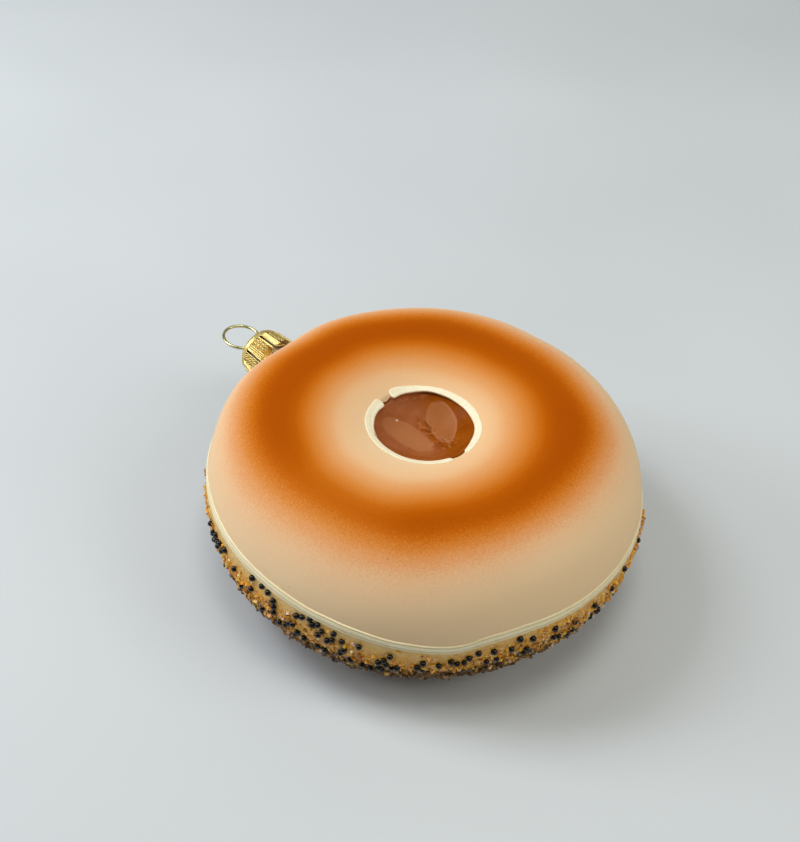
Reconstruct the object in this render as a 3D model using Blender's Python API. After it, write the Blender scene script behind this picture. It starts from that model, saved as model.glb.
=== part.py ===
"""A bagel-shaped hanging ornament of blown glass, lying flat: metres, +Z up.

The origin is under the middle of the whole part, on the surface that it lies on.
The glass body is round about a vertical axis, and its neck, metal cap and wire
loop point along +Y.
"""

import math

import bmesh
import bpy
from mathutils import Matrix

# Glass body, lying with its painted side up
BODY_RADIUS = 0.0450
CREST_RADIUS = 0.0270
UPPER_HEIGHT = 0.0173
LOWER_HEIGHT = 0.0190
OUTER_ROUNDNESS = 2.2

# Dimple in the painted side that stands for the bagel's hole
DIMPLE_RADIUS = 0.0105
DIMPLE_RIM_DROP = 0.0037
DIMPLE_DEPTH = 0.0052
DIMPLE_FLATNESS = 2.4
DIMPLE_ROUNDING = 0.8
DIMPLE_OFFSET = 0.0014
DIMPLE_OFFSET_ANGLE = math.radians(131)

# Coat of glue and glass grit below the painted seam line
COAT_THICKNESS = 0.0008
COAT_EDGE_DROP = 0.0008
COAT_EDGE_THICKNESS = 0.0003
COAT_FULL_DROP = 0.0040
SEAM_HEIGHT = 0.0018
SEAM_WAVE = 0.0013
SEAM_WAVE_COUNT = 4
SEAM_WAVE_ANGLE = math.radians(-4)
SEAM_TILT = 0.0004
SEAM_TILT_ANGLE = math.radians(131)

# Underside: a narrow flat ring to lie on, and a dimple inside it
REST_INNER_RADIUS = 0.0240
REST_OUTER_RADIUS = 0.0300
UNDER_DIMPLE_RADIUS = 0.0110
UNDER_DIMPLE_DEPTH = 0.0062

# The mouth-blown form is a little out of round
OUTLINE_WAVE = 0.00012
OUTLINE_WAVE_COUNT = 3
OUTLINE_WAVE_ANGLE = math.radians(20)

# Neck that the cap sits on
AXIS_DROP = 0.0030
NECK_RADIUS = 0.0046
NECK_BORE_RADIUS = 0.0038
NECK_END = 0.0550
NECK_BORE_BOTTOM = 0.0470
NECK_ROOT = 0.0400
NECK_SHOULDER_RADIUS = 0.0075
NECK_SHOULDER_START = 0.0432
NECK_SHOULDER_END = 0.0475
NECK_SHOULDER_FLARE = 2.5
NECK_SHOULDER_RINGS = 5

# Stamped metal cap with a skirt of petals
CAP_TOP = 0.0563
CAP_SKIRT_END = 0.0478
CAP_TOP_RADIUS = 0.0056
CAP_SKIRT_RADIUS = 0.0063
CAP_EDGE_ROUNDING = 0.0006
CAP_THICKNESS = 0.00035
PETAL_COUNT = 8
PETAL_SLIT_LENGTH = 0.0071
PETAL_SLIT_WIDTH = 0.00055
PETAL_TURN = math.radians(11.5)
PETAL_TIP_SHARE = 0.9
PETAL_TIP_ROUNDNESS = 2.6
PETAL_TIP_CUT = 0.00012
CAP_FLARE = 1.3
CAP_HUB_SHARE = 0.45
WIRE_HOLE_RADIUS = 0.00075

# Wire loop, an oval that stands a little to one side of the neck's axis
WIRE_RADIUS = 0.00036
LOOP_HALF_WIDTH = 0.0041
LOOP_HALF_LENGTH = 0.0046
LOOP_CENTRE_RISE = 0.0064
LOOP_LEAVE_RISE = 0.0021
LOOP_SIDE_SHIFT = -0.00047
LEG_SPACING = 0.0036
LEG_DEPTH = 0.0052
LOOP_TURN = math.radians(2)

# Fineness of the meshes
BODY_SEGMENTS = 64
UPPER_RINGS = 13
SLOPE_RINGS = 7
DIMPLE_RINGS = 6
LOWER_RINGS = 12
UNDER_SLOPE_RINGS = 5
NECK_SEGMENTS = 32
PETAL_COLUMNS = 6
SKIRT_ROWS = 6
CAP_EDGE_RINGS = 3
LOOP_STEPS = 30

# Places worked out from the sizes above
SEAM_PLANE = LOWER_HEIGHT + COAT_THICKNESS
LOOP_END = CAP_TOP + LOOP_CENTRE_RISE + LOOP_HALF_LENGTH + WIRE_RADIUS
BODY_CENTRE_Y = -(LOOP_END - BODY_RADIUS - COAT_THICKNESS) / 2
CAP_LENGTH = CAP_TOP - CAP_SKIRT_END
RIM_HEIGHT = UPPER_HEIGHT - DIMPLE_RIM_DROP
BOTTOM_HEIGHT = -LOWER_HEIGHT - COAT_THICKNESS


def clear_scene():
    for item in list(bpy.data.objects):
        bpy.data.objects.remove(item, do_unlink=True)


def new_material(name, colour, roughness, metallic=0.0):
    material = bpy.data.materials.new(name)
    material.use_nodes = True
    shader = material.node_tree.nodes["Principled BSDF"]
    shader.inputs["Base Color"].default_value = (*colour, 1.0)
    shader.inputs["Roughness"].default_value = roughness
    shader.inputs["Metallic"].default_value = metallic
    return material


def new_object(name, mesh, material=None):
    thing = bpy.data.objects.new(name, mesh)
    bpy.context.scene.collection.objects.link(thing)
    if material:
        mesh.materials.append(material)
    return thing


def mesh_from(bm, name):
    bmesh.ops.recalc_face_normals(bm, faces=bm.faces)
    mesh = bpy.data.meshes.new(name)
    bm.to_mesh(mesh)
    bm.free()
    mesh.shade_smooth()
    mesh.set_sharp_from_angle(angle=math.radians(40))
    return mesh


def bridge(bm, first, second):
    count = len(first)
    for k in range(count):
        following = (k + 1) % count
        bm.faces.new((first[k], first[following], second[following], second[k]))


def close_with_fan(bm, ring, centre):
    hub = bm.verts.new(centre)
    for k in range(len(ring)):
        bm.faces.new((ring[k], ring[(k + 1) % len(ring)], hub))


def outer_radius(height):
    """Radius of the bare glass at a height over the seam plane."""
    reach = UPPER_HEIGHT if height >= 0 else LOWER_HEIGHT
    share = min(1.0, abs(height) / reach)
    bulge = (1 - share ** OUTER_ROUNDNESS) ** (1 / OUTER_ROUNDNESS)
    return CREST_RADIUS + (BODY_RADIUS - CREST_RADIUS) * bulge


def seam_height(angle):
    wave = SEAM_WAVE * math.cos(SEAM_WAVE_COUNT * (angle - SEAM_WAVE_ANGLE))
    tilt = SEAM_TILT * math.cos(angle - SEAM_TILT_ANGLE)
    return SEAM_HEIGHT + wave + tilt


def unevenness(angle):
    return OUTLINE_WAVE * math.cos(OUTLINE_WAVE_COUNT * (angle - OUTLINE_WAVE_ANGLE))


def upper_profile(angle):
    """Radius and height from the rim of the dimple, over the crest, to the seam."""
    points = []
    for k in range(SLOPE_RINGS):
        share = k / SLOPE_RINGS
        radius = DIMPLE_RADIUS + (CREST_RADIUS - DIMPLE_RADIUS) * share
        points.append((radius, RIM_HEIGHT + DIMPLE_RIM_DROP * (1 - (1 - share) ** 2)))
    seam = seam_height(angle)
    start = math.asin((seam / UPPER_HEIGHT) ** (OUTER_ROUNDNESS / 2))
    for k in range(UPPER_RINGS):
        turn = math.pi / 2 + (start - math.pi / 2) * k / (UPPER_RINGS - 1)
        height = UPPER_HEIGHT * math.sin(turn) ** (2 / OUTER_ROUNDNESS)
        points.append((outer_radius(height), height))
    return points


def coat_thickness(drop):
    """The coat is thin along its edge below the seam and soon reaches its full depth."""
    share = min(1.0, drop / COAT_FULL_DROP)
    return COAT_EDGE_THICKNESS + (COAT_THICKNESS - COAT_EDGE_THICKNESS) * share


def lower_profile(angle):
    """Radius and height from the coat's upper edge, below the seam, to the rest ring."""
    points = []
    top = seam_height(angle) - COAT_EDGE_DROP
    for k in range(LOWER_RINGS):
        height = top - (top + LOWER_HEIGHT) * math.sin(math.pi / 2 * k / LOWER_RINGS)
        thickness = coat_thickness(top - height)
        downward = max(0.0, -height / LOWER_HEIGHT)
        outward = math.sqrt(1 - downward ** 2)
        points.append((outer_radius(height) + thickness * outward, height - thickness * downward))
    points.append((REST_OUTER_RADIUS, BOTTOM_HEIGHT))
    points.append((REST_INNER_RADIUS, BOTTOM_HEIGHT))
    return points


def dimple_profile(radius, depth, rings):
    """Radius and drop from a dimple's rim towards its centre, a shallow bowl."""
    points = []
    for k in range(1, rings):
        share = 1 - k / rings
        fall = (1 - share ** DIMPLE_FLATNESS) ** DIMPLE_ROUNDING
        points.append((radius * share, depth * fall))
    return points


def add_ring(bm, rows, shift=(0.0, 0.0)):
    """A closed ring of points from one radius and height for each direction."""
    ring = []
    for k, (radius, height) in enumerate(rows):
        angle = 2 * math.pi * k / BODY_SEGMENTS
        reach = radius + unevenness(angle) * radius / BODY_RADIUS
        x = reach * math.cos(angle) + shift[0]
        y = reach * math.sin(angle) + shift[1]
        ring.append(bm.verts.new((x, y, height)))
    return ring


def dimple_shift(radius):
    """The dimple lies off centre, and its offset fades out towards the crest."""
    share = min(1.0, max(0.0, (CREST_RADIUS - radius) / (CREST_RADIUS - DIMPLE_RADIUS)))
    offset = DIMPLE_OFFSET * share
    return (offset * math.cos(DIMPLE_OFFSET_ANGLE), offset * math.sin(DIMPLE_OFFSET_ANGLE))


def body_mesh():
    bm = bmesh.new()
    angles = [2 * math.pi * k / BODY_SEGMENTS for k in range(BODY_SEGMENTS)]
    rings = []

    bowl = dimple_profile(DIMPLE_RADIUS, DIMPLE_DEPTH, DIMPLE_RINGS)
    centre_shift = dimple_shift(0.0)
    for radius, drop in reversed(bowl):
        rings.append(add_ring(bm, [(radius, RIM_HEIGHT - drop)] * BODY_SEGMENTS, centre_shift))

    upper = [upper_profile(angle) for angle in angles]
    for level in range(len(upper[0])):
        shift = dimple_shift(upper[0][level][0])
        rings.append(add_ring(bm, [row[level] for row in upper], shift))

    lower = [lower_profile(angle) for angle in angles]
    for level in range(len(lower[0])):
        rings.append(add_ring(bm, [row[level] for row in lower]))

    slope = REST_INNER_RADIUS - UNDER_DIMPLE_RADIUS
    for k in range(1, UNDER_SLOPE_RINGS + 1):
        share = k / UNDER_SLOPE_RINGS
        rise = DIMPLE_RIM_DROP * share ** 2
        row = (REST_INNER_RADIUS - slope * share, BOTTOM_HEIGHT + rise)
        rings.append(add_ring(bm, [row] * BODY_SEGMENTS))
    edge = BOTTOM_HEIGHT + DIMPLE_RIM_DROP
    for radius, rise in dimple_profile(UNDER_DIMPLE_RADIUS, UNDER_DIMPLE_DEPTH, DIMPLE_RINGS):
        rings.append(add_ring(bm, [(radius, edge + rise)] * BODY_SEGMENTS))

    for first, second in zip(rings, rings[1:]):
        bridge(bm, first, second)
    close_with_fan(bm, rings[0], (*centre_shift, RIM_HEIGHT - DIMPLE_DEPTH))
    close_with_fan(bm, rings[-1], (0.0, 0.0, edge + UNDER_DIMPLE_DEPTH))
    bmesh.ops.translate(bm, verts=bm.verts, vec=(0.0, BODY_CENTRE_Y, SEAM_PLANE))
    return mesh_from(bm, "glass_body")


def place_on_axis():
    """From a local frame with +Z along the neck's axis to the part's frame."""
    turn = Matrix.Rotation(math.radians(-90), 4, "X")
    return Matrix.Translation((0.0, BODY_CENTRE_Y, SEAM_PLANE - AXIS_DROP)) @ turn


def turned_mesh(profile, name):
    """A closed turned solid from radius and height pairs that start and end on the axis."""
    bm = bmesh.new()
    rings = []
    for radius, height in profile[1:-1]:
        ring = []
        for k in range(NECK_SEGMENTS):
            angle = 2 * math.pi * k / NECK_SEGMENTS
            ring.append(bm.verts.new((radius * math.cos(angle), radius * math.sin(angle), height)))
        rings.append(ring)
    for first, second in zip(rings, rings[1:]):
        bridge(bm, first, second)
    close_with_fan(bm, rings[0], (0.0, 0.0, profile[0][1]))
    close_with_fan(bm, rings[-1], (0.0, 0.0, profile[-1][1]))
    return mesh_from(bm, name)


def neck_tool(name, profile):
    tool = new_object(name, turned_mesh(profile, name))
    tool.matrix_world = place_on_axis()
    tool.hide_render = True
    tool.display_type = "WIRE"
    return tool


def add_boolean(thing, tool, operation):
    modifier = thing.modifiers.new(tool.name, "BOOLEAN")
    modifier.operation = operation
    modifier.solver = "EXACT"
    modifier.object = tool


def make_body():
    paint = new_material("painted glass", (0.62, 0.33, 0.12), 0.45)
    body = new_object("glass_body", body_mesh(), paint)
    stub = [(0.0, NECK_ROOT), (NECK_SHOULDER_RADIUS, NECK_ROOT)]
    for k in range(NECK_SHOULDER_RINGS + 1):
        share = k / NECK_SHOULDER_RINGS
        flare = (NECK_SHOULDER_RADIUS - NECK_RADIUS) * (1 - share) ** NECK_SHOULDER_FLARE
        height = NECK_SHOULDER_START + (NECK_SHOULDER_END - NECK_SHOULDER_START) * share
        stub.append((NECK_RADIUS + flare, height))
    stub += [(NECK_RADIUS, NECK_END), (0.0, NECK_END)]
    bore = [
        (0.0, NECK_BORE_BOTTOM),
        (NECK_BORE_RADIUS, NECK_BORE_BOTTOM),
        (NECK_BORE_RADIUS, NECK_END + CAP_THICKNESS),
        (0.0, NECK_END + CAP_THICKNESS),
    ]
    add_boolean(body, neck_tool("neck_stub", stub), "UNION")
    add_boolean(body, neck_tool("neck_bore", bore), "DIFFERENCE")


def petal_half_angle(depth):
    """Half the angle that a petal takes up, at a depth below the cap's top."""
    radius = cap_radius(depth)
    whole = math.pi / PETAL_COUNT - PETAL_SLIT_WIDTH / 2 / radius
    tip = PETAL_TIP_SHARE * radius * math.sin(whole)
    over = max(0.0, depth - (CAP_LENGTH - tip)) / tip
    return whole * math.sqrt(1 - over ** PETAL_TIP_ROUNDNESS)


def cap_radius(depth):
    share = depth / CAP_LENGTH
    return CAP_TOP_RADIUS + (CAP_SKIRT_RADIUS - CAP_TOP_RADIUS) * share ** CAP_FLARE


def cap_point(bm, radius, angle, depth):
    turn = angle + PETAL_TURN
    place = (radius * math.cos(turn), radius * math.sin(turn), CAP_TOP - depth)
    return bm.verts.new(place)


def cap_mesh():
    """The cap's outer skin: a round top, a plain band and a skirt of separate petals."""
    bm = bmesh.new()
    step = 2 * math.pi / PETAL_COUNT
    band = CAP_LENGTH - PETAL_SLIT_LENGTH
    columns = PETAL_COLUMNS + 1

    def row_of(radius, depth, half):
        row = []
        for petal in range(PETAL_COUNT):
            for column in range(columns):
                angle = petal * step + half * (2 * column / PETAL_COLUMNS - 1)
                row.append(cap_point(bm, radius, angle, depth))
        return row

    gap = PETAL_SLIT_WIDTH / 2 / cap_radius(band)
    half_band = math.pi / PETAL_COUNT - gap
    rows = [row_of(CAP_TOP_RADIUS * CAP_HUB_SHARE, 0.0, half_band)]
    for k in range(CAP_EDGE_RINGS):
        turn = math.pi / 2 * k / (CAP_EDGE_RINGS - 1)
        inset = CAP_EDGE_ROUNDING * (1 - math.sin(turn))
        drop = CAP_EDGE_ROUNDING * (1 - math.cos(turn))
        rows.append(row_of(CAP_TOP_RADIUS - inset, drop, half_band))
    rows.append(row_of(cap_radius(band), band, half_band))
    closed_rows = len(rows)
    for k in range(1, SKIRT_ROWS + 1):
        depth = band + PETAL_SLIT_LENGTH * math.sin(math.pi / 2 * k / SKIRT_ROWS)
        half = petal_half_angle(depth - PETAL_TIP_CUT)
        rows.append(row_of(cap_radius(depth), depth, half))

    count = len(rows[0])
    for level, (first, second) in enumerate(zip(rows, rows[1:])):
        for k in range(count):
            between_petals = k % columns == columns - 1
            if between_petals and level >= closed_rows - 1:
                continue
            following = (k + 1) % count
            bm.faces.new((first[k], second[k], second[following], first[following]))
    close_with_fan(bm, rows[0], (0.0, 0.0, CAP_TOP))
    return mesh_from(bm, "cap")


def leg_mesh(side, name):
    """A round cutter for one of the two holes that the wire's legs pass through."""
    bm = bmesh.new()
    height = 4 * CAP_THICKNESS
    across = side * LEG_SPACING / 2 + LOOP_SIDE_SHIFT
    hole = Matrix.Translation((across, 0.0, CAP_TOP))
    place = Matrix.Rotation(LOOP_TURN, 4, "Z") @ hole
    bmesh.ops.create_cone(
        bm, cap_ends=True, segments=16, radius1=WIRE_HOLE_RADIUS,
        radius2=WIRE_HOLE_RADIUS, depth=height, matrix=place,
    )
    return mesh_from(bm, name)


def make_cap():
    gold = new_material("gold foil brass", (0.80, 0.52, 0.16), 0.25, 1.0)
    cap = new_object("cap", cap_mesh(), gold)
    cap.matrix_world = place_on_axis()
    skin = cap.modifiers.new("wall", "SOLIDIFY")
    skin.thickness = CAP_THICKNESS
    skin.offset = -1
    skin.use_even_offset = True
    for side, name in ((-1, "wire_hole_left"), (1, "wire_hole_right")):
        tool = new_object(name, leg_mesh(side, name))
        tool.matrix_world = place_on_axis()
        tool.hide_render = True
        tool.display_type = "WIRE"
        add_boolean(cap, tool, "DIFFERENCE")


def soften(points):
    """Cut the corners of a run of points, which keeps its two ends."""
    softened = [points[0]]
    for (u, v), (p, q) in zip(points, points[1:]):
        softened.append((0.75 * u + 0.25 * p, 0.75 * v + 0.25 * q))
        softened.append((0.25 * u + 0.75 * p, 0.25 * v + 0.75 * q))
    softened.append(points[-1])
    return softened


def loop_route():
    """Points along the wire, from the end of one leg round the loop to the other."""
    half = LEG_SPACING / 2
    leave = math.acos((LOOP_CENTRE_RISE - LOOP_LEAVE_RISE) / LOOP_HALF_LENGTH)
    left_leg = soften([
        (-half, -LEG_DEPTH),
        (-half, -LEG_DEPTH / 2),
        (-half, 0.0),
        (-half, LOOP_LEAVE_RISE / 2),
        (-LOOP_HALF_WIDTH * math.sin(leave), LOOP_LEAVE_RISE),
    ])
    arc = []
    for k in range(1, LOOP_STEPS):
        turn = leave + (2 * math.pi - 2 * leave) * k / LOOP_STEPS
        along = LOOP_CENTRE_RISE - LOOP_HALF_LENGTH * math.cos(turn)
        arc.append((-LOOP_HALF_WIDTH * math.sin(turn), along))
    right_leg = [(-across, along) for across, along in reversed(left_leg)]
    route = left_leg + arc + right_leg
    return [(across + LOOP_SIDE_SHIFT, 0.0, along) for across, along in route]


def make_hanger():
    wire = new_material("pale gold wire", (0.76, 0.70, 0.42), 0.25, 1.0)
    route = loop_route()
    curve = bpy.data.curves.new("hanger", "CURVE")
    curve.dimensions = "3D"
    curve.bevel_depth = WIRE_RADIUS
    curve.bevel_resolution = 2
    curve.use_fill_caps = True
    spline = curve.splines.new("POLY")
    spline.points.add(len(route) - 1)
    for point, place in zip(spline.points, route):
        point.co = (*place, 1.0)
    curve.materials.append(wire)
    hanger = bpy.data.objects.new("hanger", curve)
    bpy.context.scene.collection.objects.link(hanger)
    rise = Matrix.Translation((0.0, 0.0, CAP_TOP))
    hanger.matrix_world = place_on_axis() @ rise @ Matrix.Rotation(LOOP_TURN, 4, "Z")


clear_scene()
make_body()
make_cap()
make_hanger()
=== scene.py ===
"""Looks of the bagel-shaped glass ornament, built round its CAD model: metres, +Z up."""

import math

import bmesh
import bpy
import numpy as np
from mathutils import Matrix, Vector, kdtree, noise


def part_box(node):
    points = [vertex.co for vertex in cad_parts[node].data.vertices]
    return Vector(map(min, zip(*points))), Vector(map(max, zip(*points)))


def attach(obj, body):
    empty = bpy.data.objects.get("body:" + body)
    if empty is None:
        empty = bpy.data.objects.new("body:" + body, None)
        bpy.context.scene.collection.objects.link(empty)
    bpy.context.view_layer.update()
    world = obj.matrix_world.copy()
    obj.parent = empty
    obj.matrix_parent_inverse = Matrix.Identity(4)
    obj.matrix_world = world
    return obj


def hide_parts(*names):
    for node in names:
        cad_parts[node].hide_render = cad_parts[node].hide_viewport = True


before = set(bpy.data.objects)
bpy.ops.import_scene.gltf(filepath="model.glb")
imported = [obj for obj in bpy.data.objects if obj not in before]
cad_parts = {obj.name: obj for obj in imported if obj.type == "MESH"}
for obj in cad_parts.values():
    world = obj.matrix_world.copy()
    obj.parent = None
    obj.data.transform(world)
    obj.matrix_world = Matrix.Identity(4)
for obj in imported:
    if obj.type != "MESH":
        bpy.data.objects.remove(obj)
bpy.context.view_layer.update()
MM = 0.001

# Glass body, with the sizes of the CAD model
BODY_RADIUS = 45.0 * MM
CREST_RADIUS = 27.0 * MM
UPPER_HEIGHT = 17.3 * MM
LOWER_HEIGHT = 19.0 * MM
OUTER_ROUNDNESS = 2.2
COAT_THICKNESS = 0.8 * MM
DIMPLE_RADIUS = 10.5 * MM
DIMPLE_RIM_DROP = 3.7 * MM
DIMPLE_DEPTH = 5.2 * MM
DIMPLE_FLATNESS = 2.4
DIMPLE_ROUNDING = 0.8
DIMPLE_OFFSET = 1.4 * MM
DIMPLE_OFFSET_ANGLE = math.radians(131)
REST_INNER_RADIUS = 24.0 * MM
REST_OUTER_RADIUS = 30.0 * MM
GLASS_COLUMNS = 360
GLASS_LEVELS = 96
UNDER_DIMPLE_RADIUS = 11.0 * MM
UNDER_DIMPLE_DEPTH = 6.2 * MM

# Neck, cap and wire, with the sizes of the CAD model
AXIS_DROP = 3.0 * MM
NECK_RADIUS = 4.6 * MM
NECK_ROOT = 40.0 * MM
NECK_END = 55.0 * MM
NECK_SHOULDER_RADIUS = 7.5 * MM
NECK_SHOULDER_START = 43.2 * MM
NECK_SHOULDER_END = 47.5 * MM
NECK_SHOULDER_FLARE = 2.5
NECK_WALL = 0.6 * MM
NECK_SIDES = 64
CAP_TOP = 56.3 * MM
CAP_SKIRT_END = 47.8 * MM
CAP_TOP_RADIUS = 5.6 * MM
CAP_SKIRT_RADIUS = 6.3 * MM
CAP_EDGE_ROUNDING = 0.6 * MM
CAP_THICKNESS = 0.3 * MM
CAP_FLARE = 1.3
PETAL_COUNT = 8
PETAL_SLIT_LENGTH = 7.1 * MM
PETAL_SLIT_WIDTH = 0.55 * MM
PETAL_TURN = math.radians(11.5)
PETAL_TIP_SHARE = 0.9
PETAL_TIP_ROUNDNESS = 2.6
CAP_LENGTH = CAP_TOP - CAP_SKIRT_END
PETAL_COLUMNS = 41
SKIRT_ROWS = 72
STAMP_HEIGHT = 0.27 * MM
RIB_OFFSETS = (-1.55 * MM, -1.1 * MM, -0.65 * MM)
# Middles of the stamped rosettes in mm: to the right on a petal, and down from the cap's top
ROSETTE_PLACES = [
    (0.75, 2.2), (0.75, 4.1), (0.75, 6.0), (-0.05, 3.15), (-0.05, 5.05), (1.45, 3.15), (1.45, 5.05),
]
ROSETTE_RADIUS = 0.52 * MM
WIRE_RADIUS = 0.36 * MM
LOOP_HALF_WIDTH = 4.1 * MM
LOOP_HALF_LENGTH = 4.6 * MM
LOOP_CENTRE_RISE = 6.4 * MM
LOOP_LEAVE_RISE = 2.1 * MM
LOOP_SIDE_SHIFT = -0.47 * MM
LEG_SPACING = 3.6 * MM
LEG_DEPTH = 5.2 * MM
LOOP_TURN = math.radians(2)
LOOP_STEPS = 48
WIRE_SIDES = 20

# Airbrushed colour of the top: direction faced, inner and outer radius of the toasted ring in mm,
# and its depth of colour, measured in the photo. A scratch script measured them in the photo,
# which report.md tells of.
RING_KEYS = [
    (-90, 21.7, 37.2, 1.0), (-60, 23.3, 37.9, 0.95), (-45, 24.2, 37.4, 0.85), (-30, 24.3, 36.9, 0.83),
    (-15, 24.2, 36.8, 0.87), (0, 23.2, 36.5, 0.97), (15, 22.0, 34.7, 0.98), (30, 20.7, 33.4, 0.98),
    (45, 20.1, 32.9, 1.0), (60, 19.6, 33.2, 1.0), (90, 18.8, 34.5, 1.0), (120, 18.3, 33.0, 0.95),
    (150, 17.9, 32.3, 0.96), (180, 18.3, 33.0, 1.0), (210, 19.3, 34.2, 1.0), (240, 20.4, 36.4, 1.0),
]
RING_INNER_FADE = 5.0 * MM
RING_OUTER_FADE = 4.0 * MM

# Dents of the glass: direction faced, width in degrees,
# depth in mm, heights in mm where it starts and is full
DENTS = [
    (147, 8, 0.45, 2, 9), (202, 22, 0.6, 2, 9), (237, 11.5, 1.35, 1, 8),
    (-92, 22, 0.5, 12, 4), (-82, 30, 0.7, 1, -4), (37, 29, 0.75, 1, -4),
]

# Brown lacquer in the centre dimple
LACQUER_RADIUS = 10.85 * MM
LACQUER_THICKNESS = 0.22 * MM
LACQUER_ROWS = 130
LACQUER_UNDER_STEP = 8
# Lacquer's edge in the gaps between the strokes: direction faced, width in degrees, how far it moves out
LACQUER_GAPS = [(-127, 8, -0.35 * MM), (40, 9, 0.3 * MM)]
# The dimple's painted edge swells in two directions and is flat in one
RIM_SWELLINGS = [(217, 13, 0.2 * MM), (62, 14, -0.3 * MM), (5, 45, 0.28 * MM)]

# Cream strokes round the dimple: directions faced at start and end, and their width in mm by direction
STROKES = [(-119, 33), (49, 226)]
STROKE_KEYS = [
    (-90, 2.05), (-45, 1.85), (0, 1.55), (33, 1.45), (49, 1.2), (70, 1.5), (95, 1.5),
    (130, 1.5), (160, 1.3), (180, 1.2), (205, 1.65), (226, 2.1), (241, 2.2),
]
STROKE_OUTER_RADIUS = 11.8 * MM
STROKE_SHIFT = 0.7 * MM
STROKE_RISE = 0.18 * MM
STROKE_STEPS = 260
STROKE_TIP = 0.9 * MM

# Cream seam line: its height over the seam plane, by the direction it faces
SEAM_KEYS = [
    (-90, 1.6), (-70, 3.0), (-50, 2.9), (-30, 2.4), (-12, 1.4), (3, 0.2), (13, 0.3), (18, 1.6), (27, 2.6),
    (40, 2.7), (55, 2.7), (72, 2.6), (90, 1.4), (112, 0.8),
    (135, 1.6), (160, 2.4), (185, 1.6), (210, 1.5), (240, 1.2),
]
SEAM_BAND_HEIGHT = 2.4 * MM
SEAM_BAND_RISE = 0.36 * MM
SEAM_STEPS = 1300
SEAM_TIP = 1.2 * MM
NECK_ANGLE = math.radians(90)
SEAM_GAP_AT_NECK = math.radians(8.5)

# Coat of glue with grit and beads
COAT_EDGE_THICKNESS = 0.12 * MM
COAT_FULL_DROP = 6.0 * MM
COAT_SKIN = 0.9 * MM
COAT_COLUMNS = 540
COAT_SIDE_ROWS = 70
COAT_SIDE_SHARE = 0.915
COAT_INNER_STEP = 9
GRIT_ROOM = 0.5 * MM
GRIT_COUNT = 16000
CRUMB_COUNT = 3200
PALE_COUNT = 300
BEAD_RADIUS = 0.63 * MM
BEAD_COUNT_AROUND = 210
BEAD_COUNT_UNDER = 130
# Bead groups near the front: direction faced, drop below the seam line in mm, spread of both, count.
# A scratch script worked most of the places out from the photo, which report.md tells of.
BEAD_GROUPS = [
    (-60, 5.2, 2.5, 0.9, 8), (-55.5, 4.3, 1.5, 0.6, 5), (-48.5, 4.2, 0.6, 0.4, 2), (-45, 6.6, 0.6, 0.3, 1),
    (-40.5, 1.5, 0.2, 0.1, 1), (-37.4, 1.5, 0.2, 0.1, 1), (-35.2, 1.9, 0.2, 0.1, 1),
    (-33.4, 2.8, 0.3, 0.3, 1),
    (-33, 4.3, 0.3, 0.3, 1), (-33, 5.7, 0.3, 0.3, 1), (-40, 4.6, 0.8, 0.3, 1), (-38, 8.0, 1.0, 0.4, 2),
    (-26, 2.4, 0.7, 0.4, 2), (-28.5, 6.0, 0.8, 0.6, 3), (-30.5, 8.0, 1.2, 0.5, 2), (-25, 7.6, 1.0, 0.5, 3),
    (-21.5, 2.2, 0.7, 0.5, 4), (-19.5, 3.4, 0.8, 0.6, 4), (-17.7, 4.7, 0.6, 0.4, 3),
    (-16.3, 2.2, 0.5, 0.2, 1),
    (-14.3, 3.2, 0.4, 0.3, 2), (-13.8, 5.0, 0.3, 0.7, 3), (-19, 8.6, 1.5, 0.4, 2), (-10, 2.8, 0.3, 0.1, 1),
    (-9, 8.8, 3.5, 0.5, 5), (-4.5, 5.0, 0.5, 0.4, 2), (-2.8, 3.2, 0.2, 0.1, 1), (-2, 6.6, 1.2, 0.5, 3),
    (3.5, 5.6, 1.0, 0.3, 2), (5, 4.0, 0.4, 0.2, 1), (8.5, 4.6, 0.5, 0.3, 2), (11, 3.6, 0.3, 0.2, 1),
    (13.5, 4.3, 0.7, 0.2, 3), (15.3, 3.5, 0.2, 0.1, 1), (17.3, 2.6, 0.3, 0.2, 1), (21, 3.7, 0.3, 0.3, 1),
    (20, 6.5, 0.4, 0.3, 1), (22.5, 6.3, 0.5, 0.3, 2), (25.3, 4.6, 0.4, 0.3, 2), (27.3, 2.1, 0.2, 0.1, 1),
    (30.5, 3.2, 0.2, 0.1, 1), (30, 6.4, 1.0, 0.8, 3), (37, 2.9, 0.3, 0.1, 1), (38.5, 6.8, 1.0, 0.5, 2),
    (43.5, 4.3, 0.3, 0.2, 1), (43, 8.2, 1.0, 0.4, 2), (49.5, 3.5, 0.4, 0.3, 1), (52, 7.5, 1.5, 0.8, 3),
    (57.5, 3.9, 0.5, 0.3, 1), (63, 2.6, 0.7, 0.5, 2),
]

# Places read from the CAD model
SEAM_PLANE = LOWER_HEIGHT + COAT_THICKNESS
CENTRE = Vector((0.0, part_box("cap")[1].y - CAP_TOP, SEAM_PLANE))
RIM_HEIGHT = UPPER_HEIGHT - DIMPLE_RIM_DROP
BOTTOM_HEIGHT = -LOWER_HEIGHT - COAT_THICKNESS
NECK_AXIS = CENTRE - Vector((0, 0, AXIS_DROP))
AXIS_PLACE = Matrix.Translation(NECK_AXIS) @ Matrix.Rotation(math.radians(-90), 4, "X")

# The view
VIEW_ANGLE = math.radians(-138.8)
CAMERA_DISTANCE = 225 * MM
CAMERA_ELEVATION = math.radians(45)
CAMERA_TILT = math.radians(2.50)
CAMERA_PAN = math.radians(1.62)
CAMERA_ROLL = math.radians(6.65)
CAMERA_LENS = 45.87
COOL = (0.97, 0.985, 1.0)
WARM = (1.0, 0.96, 0.84)
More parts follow.
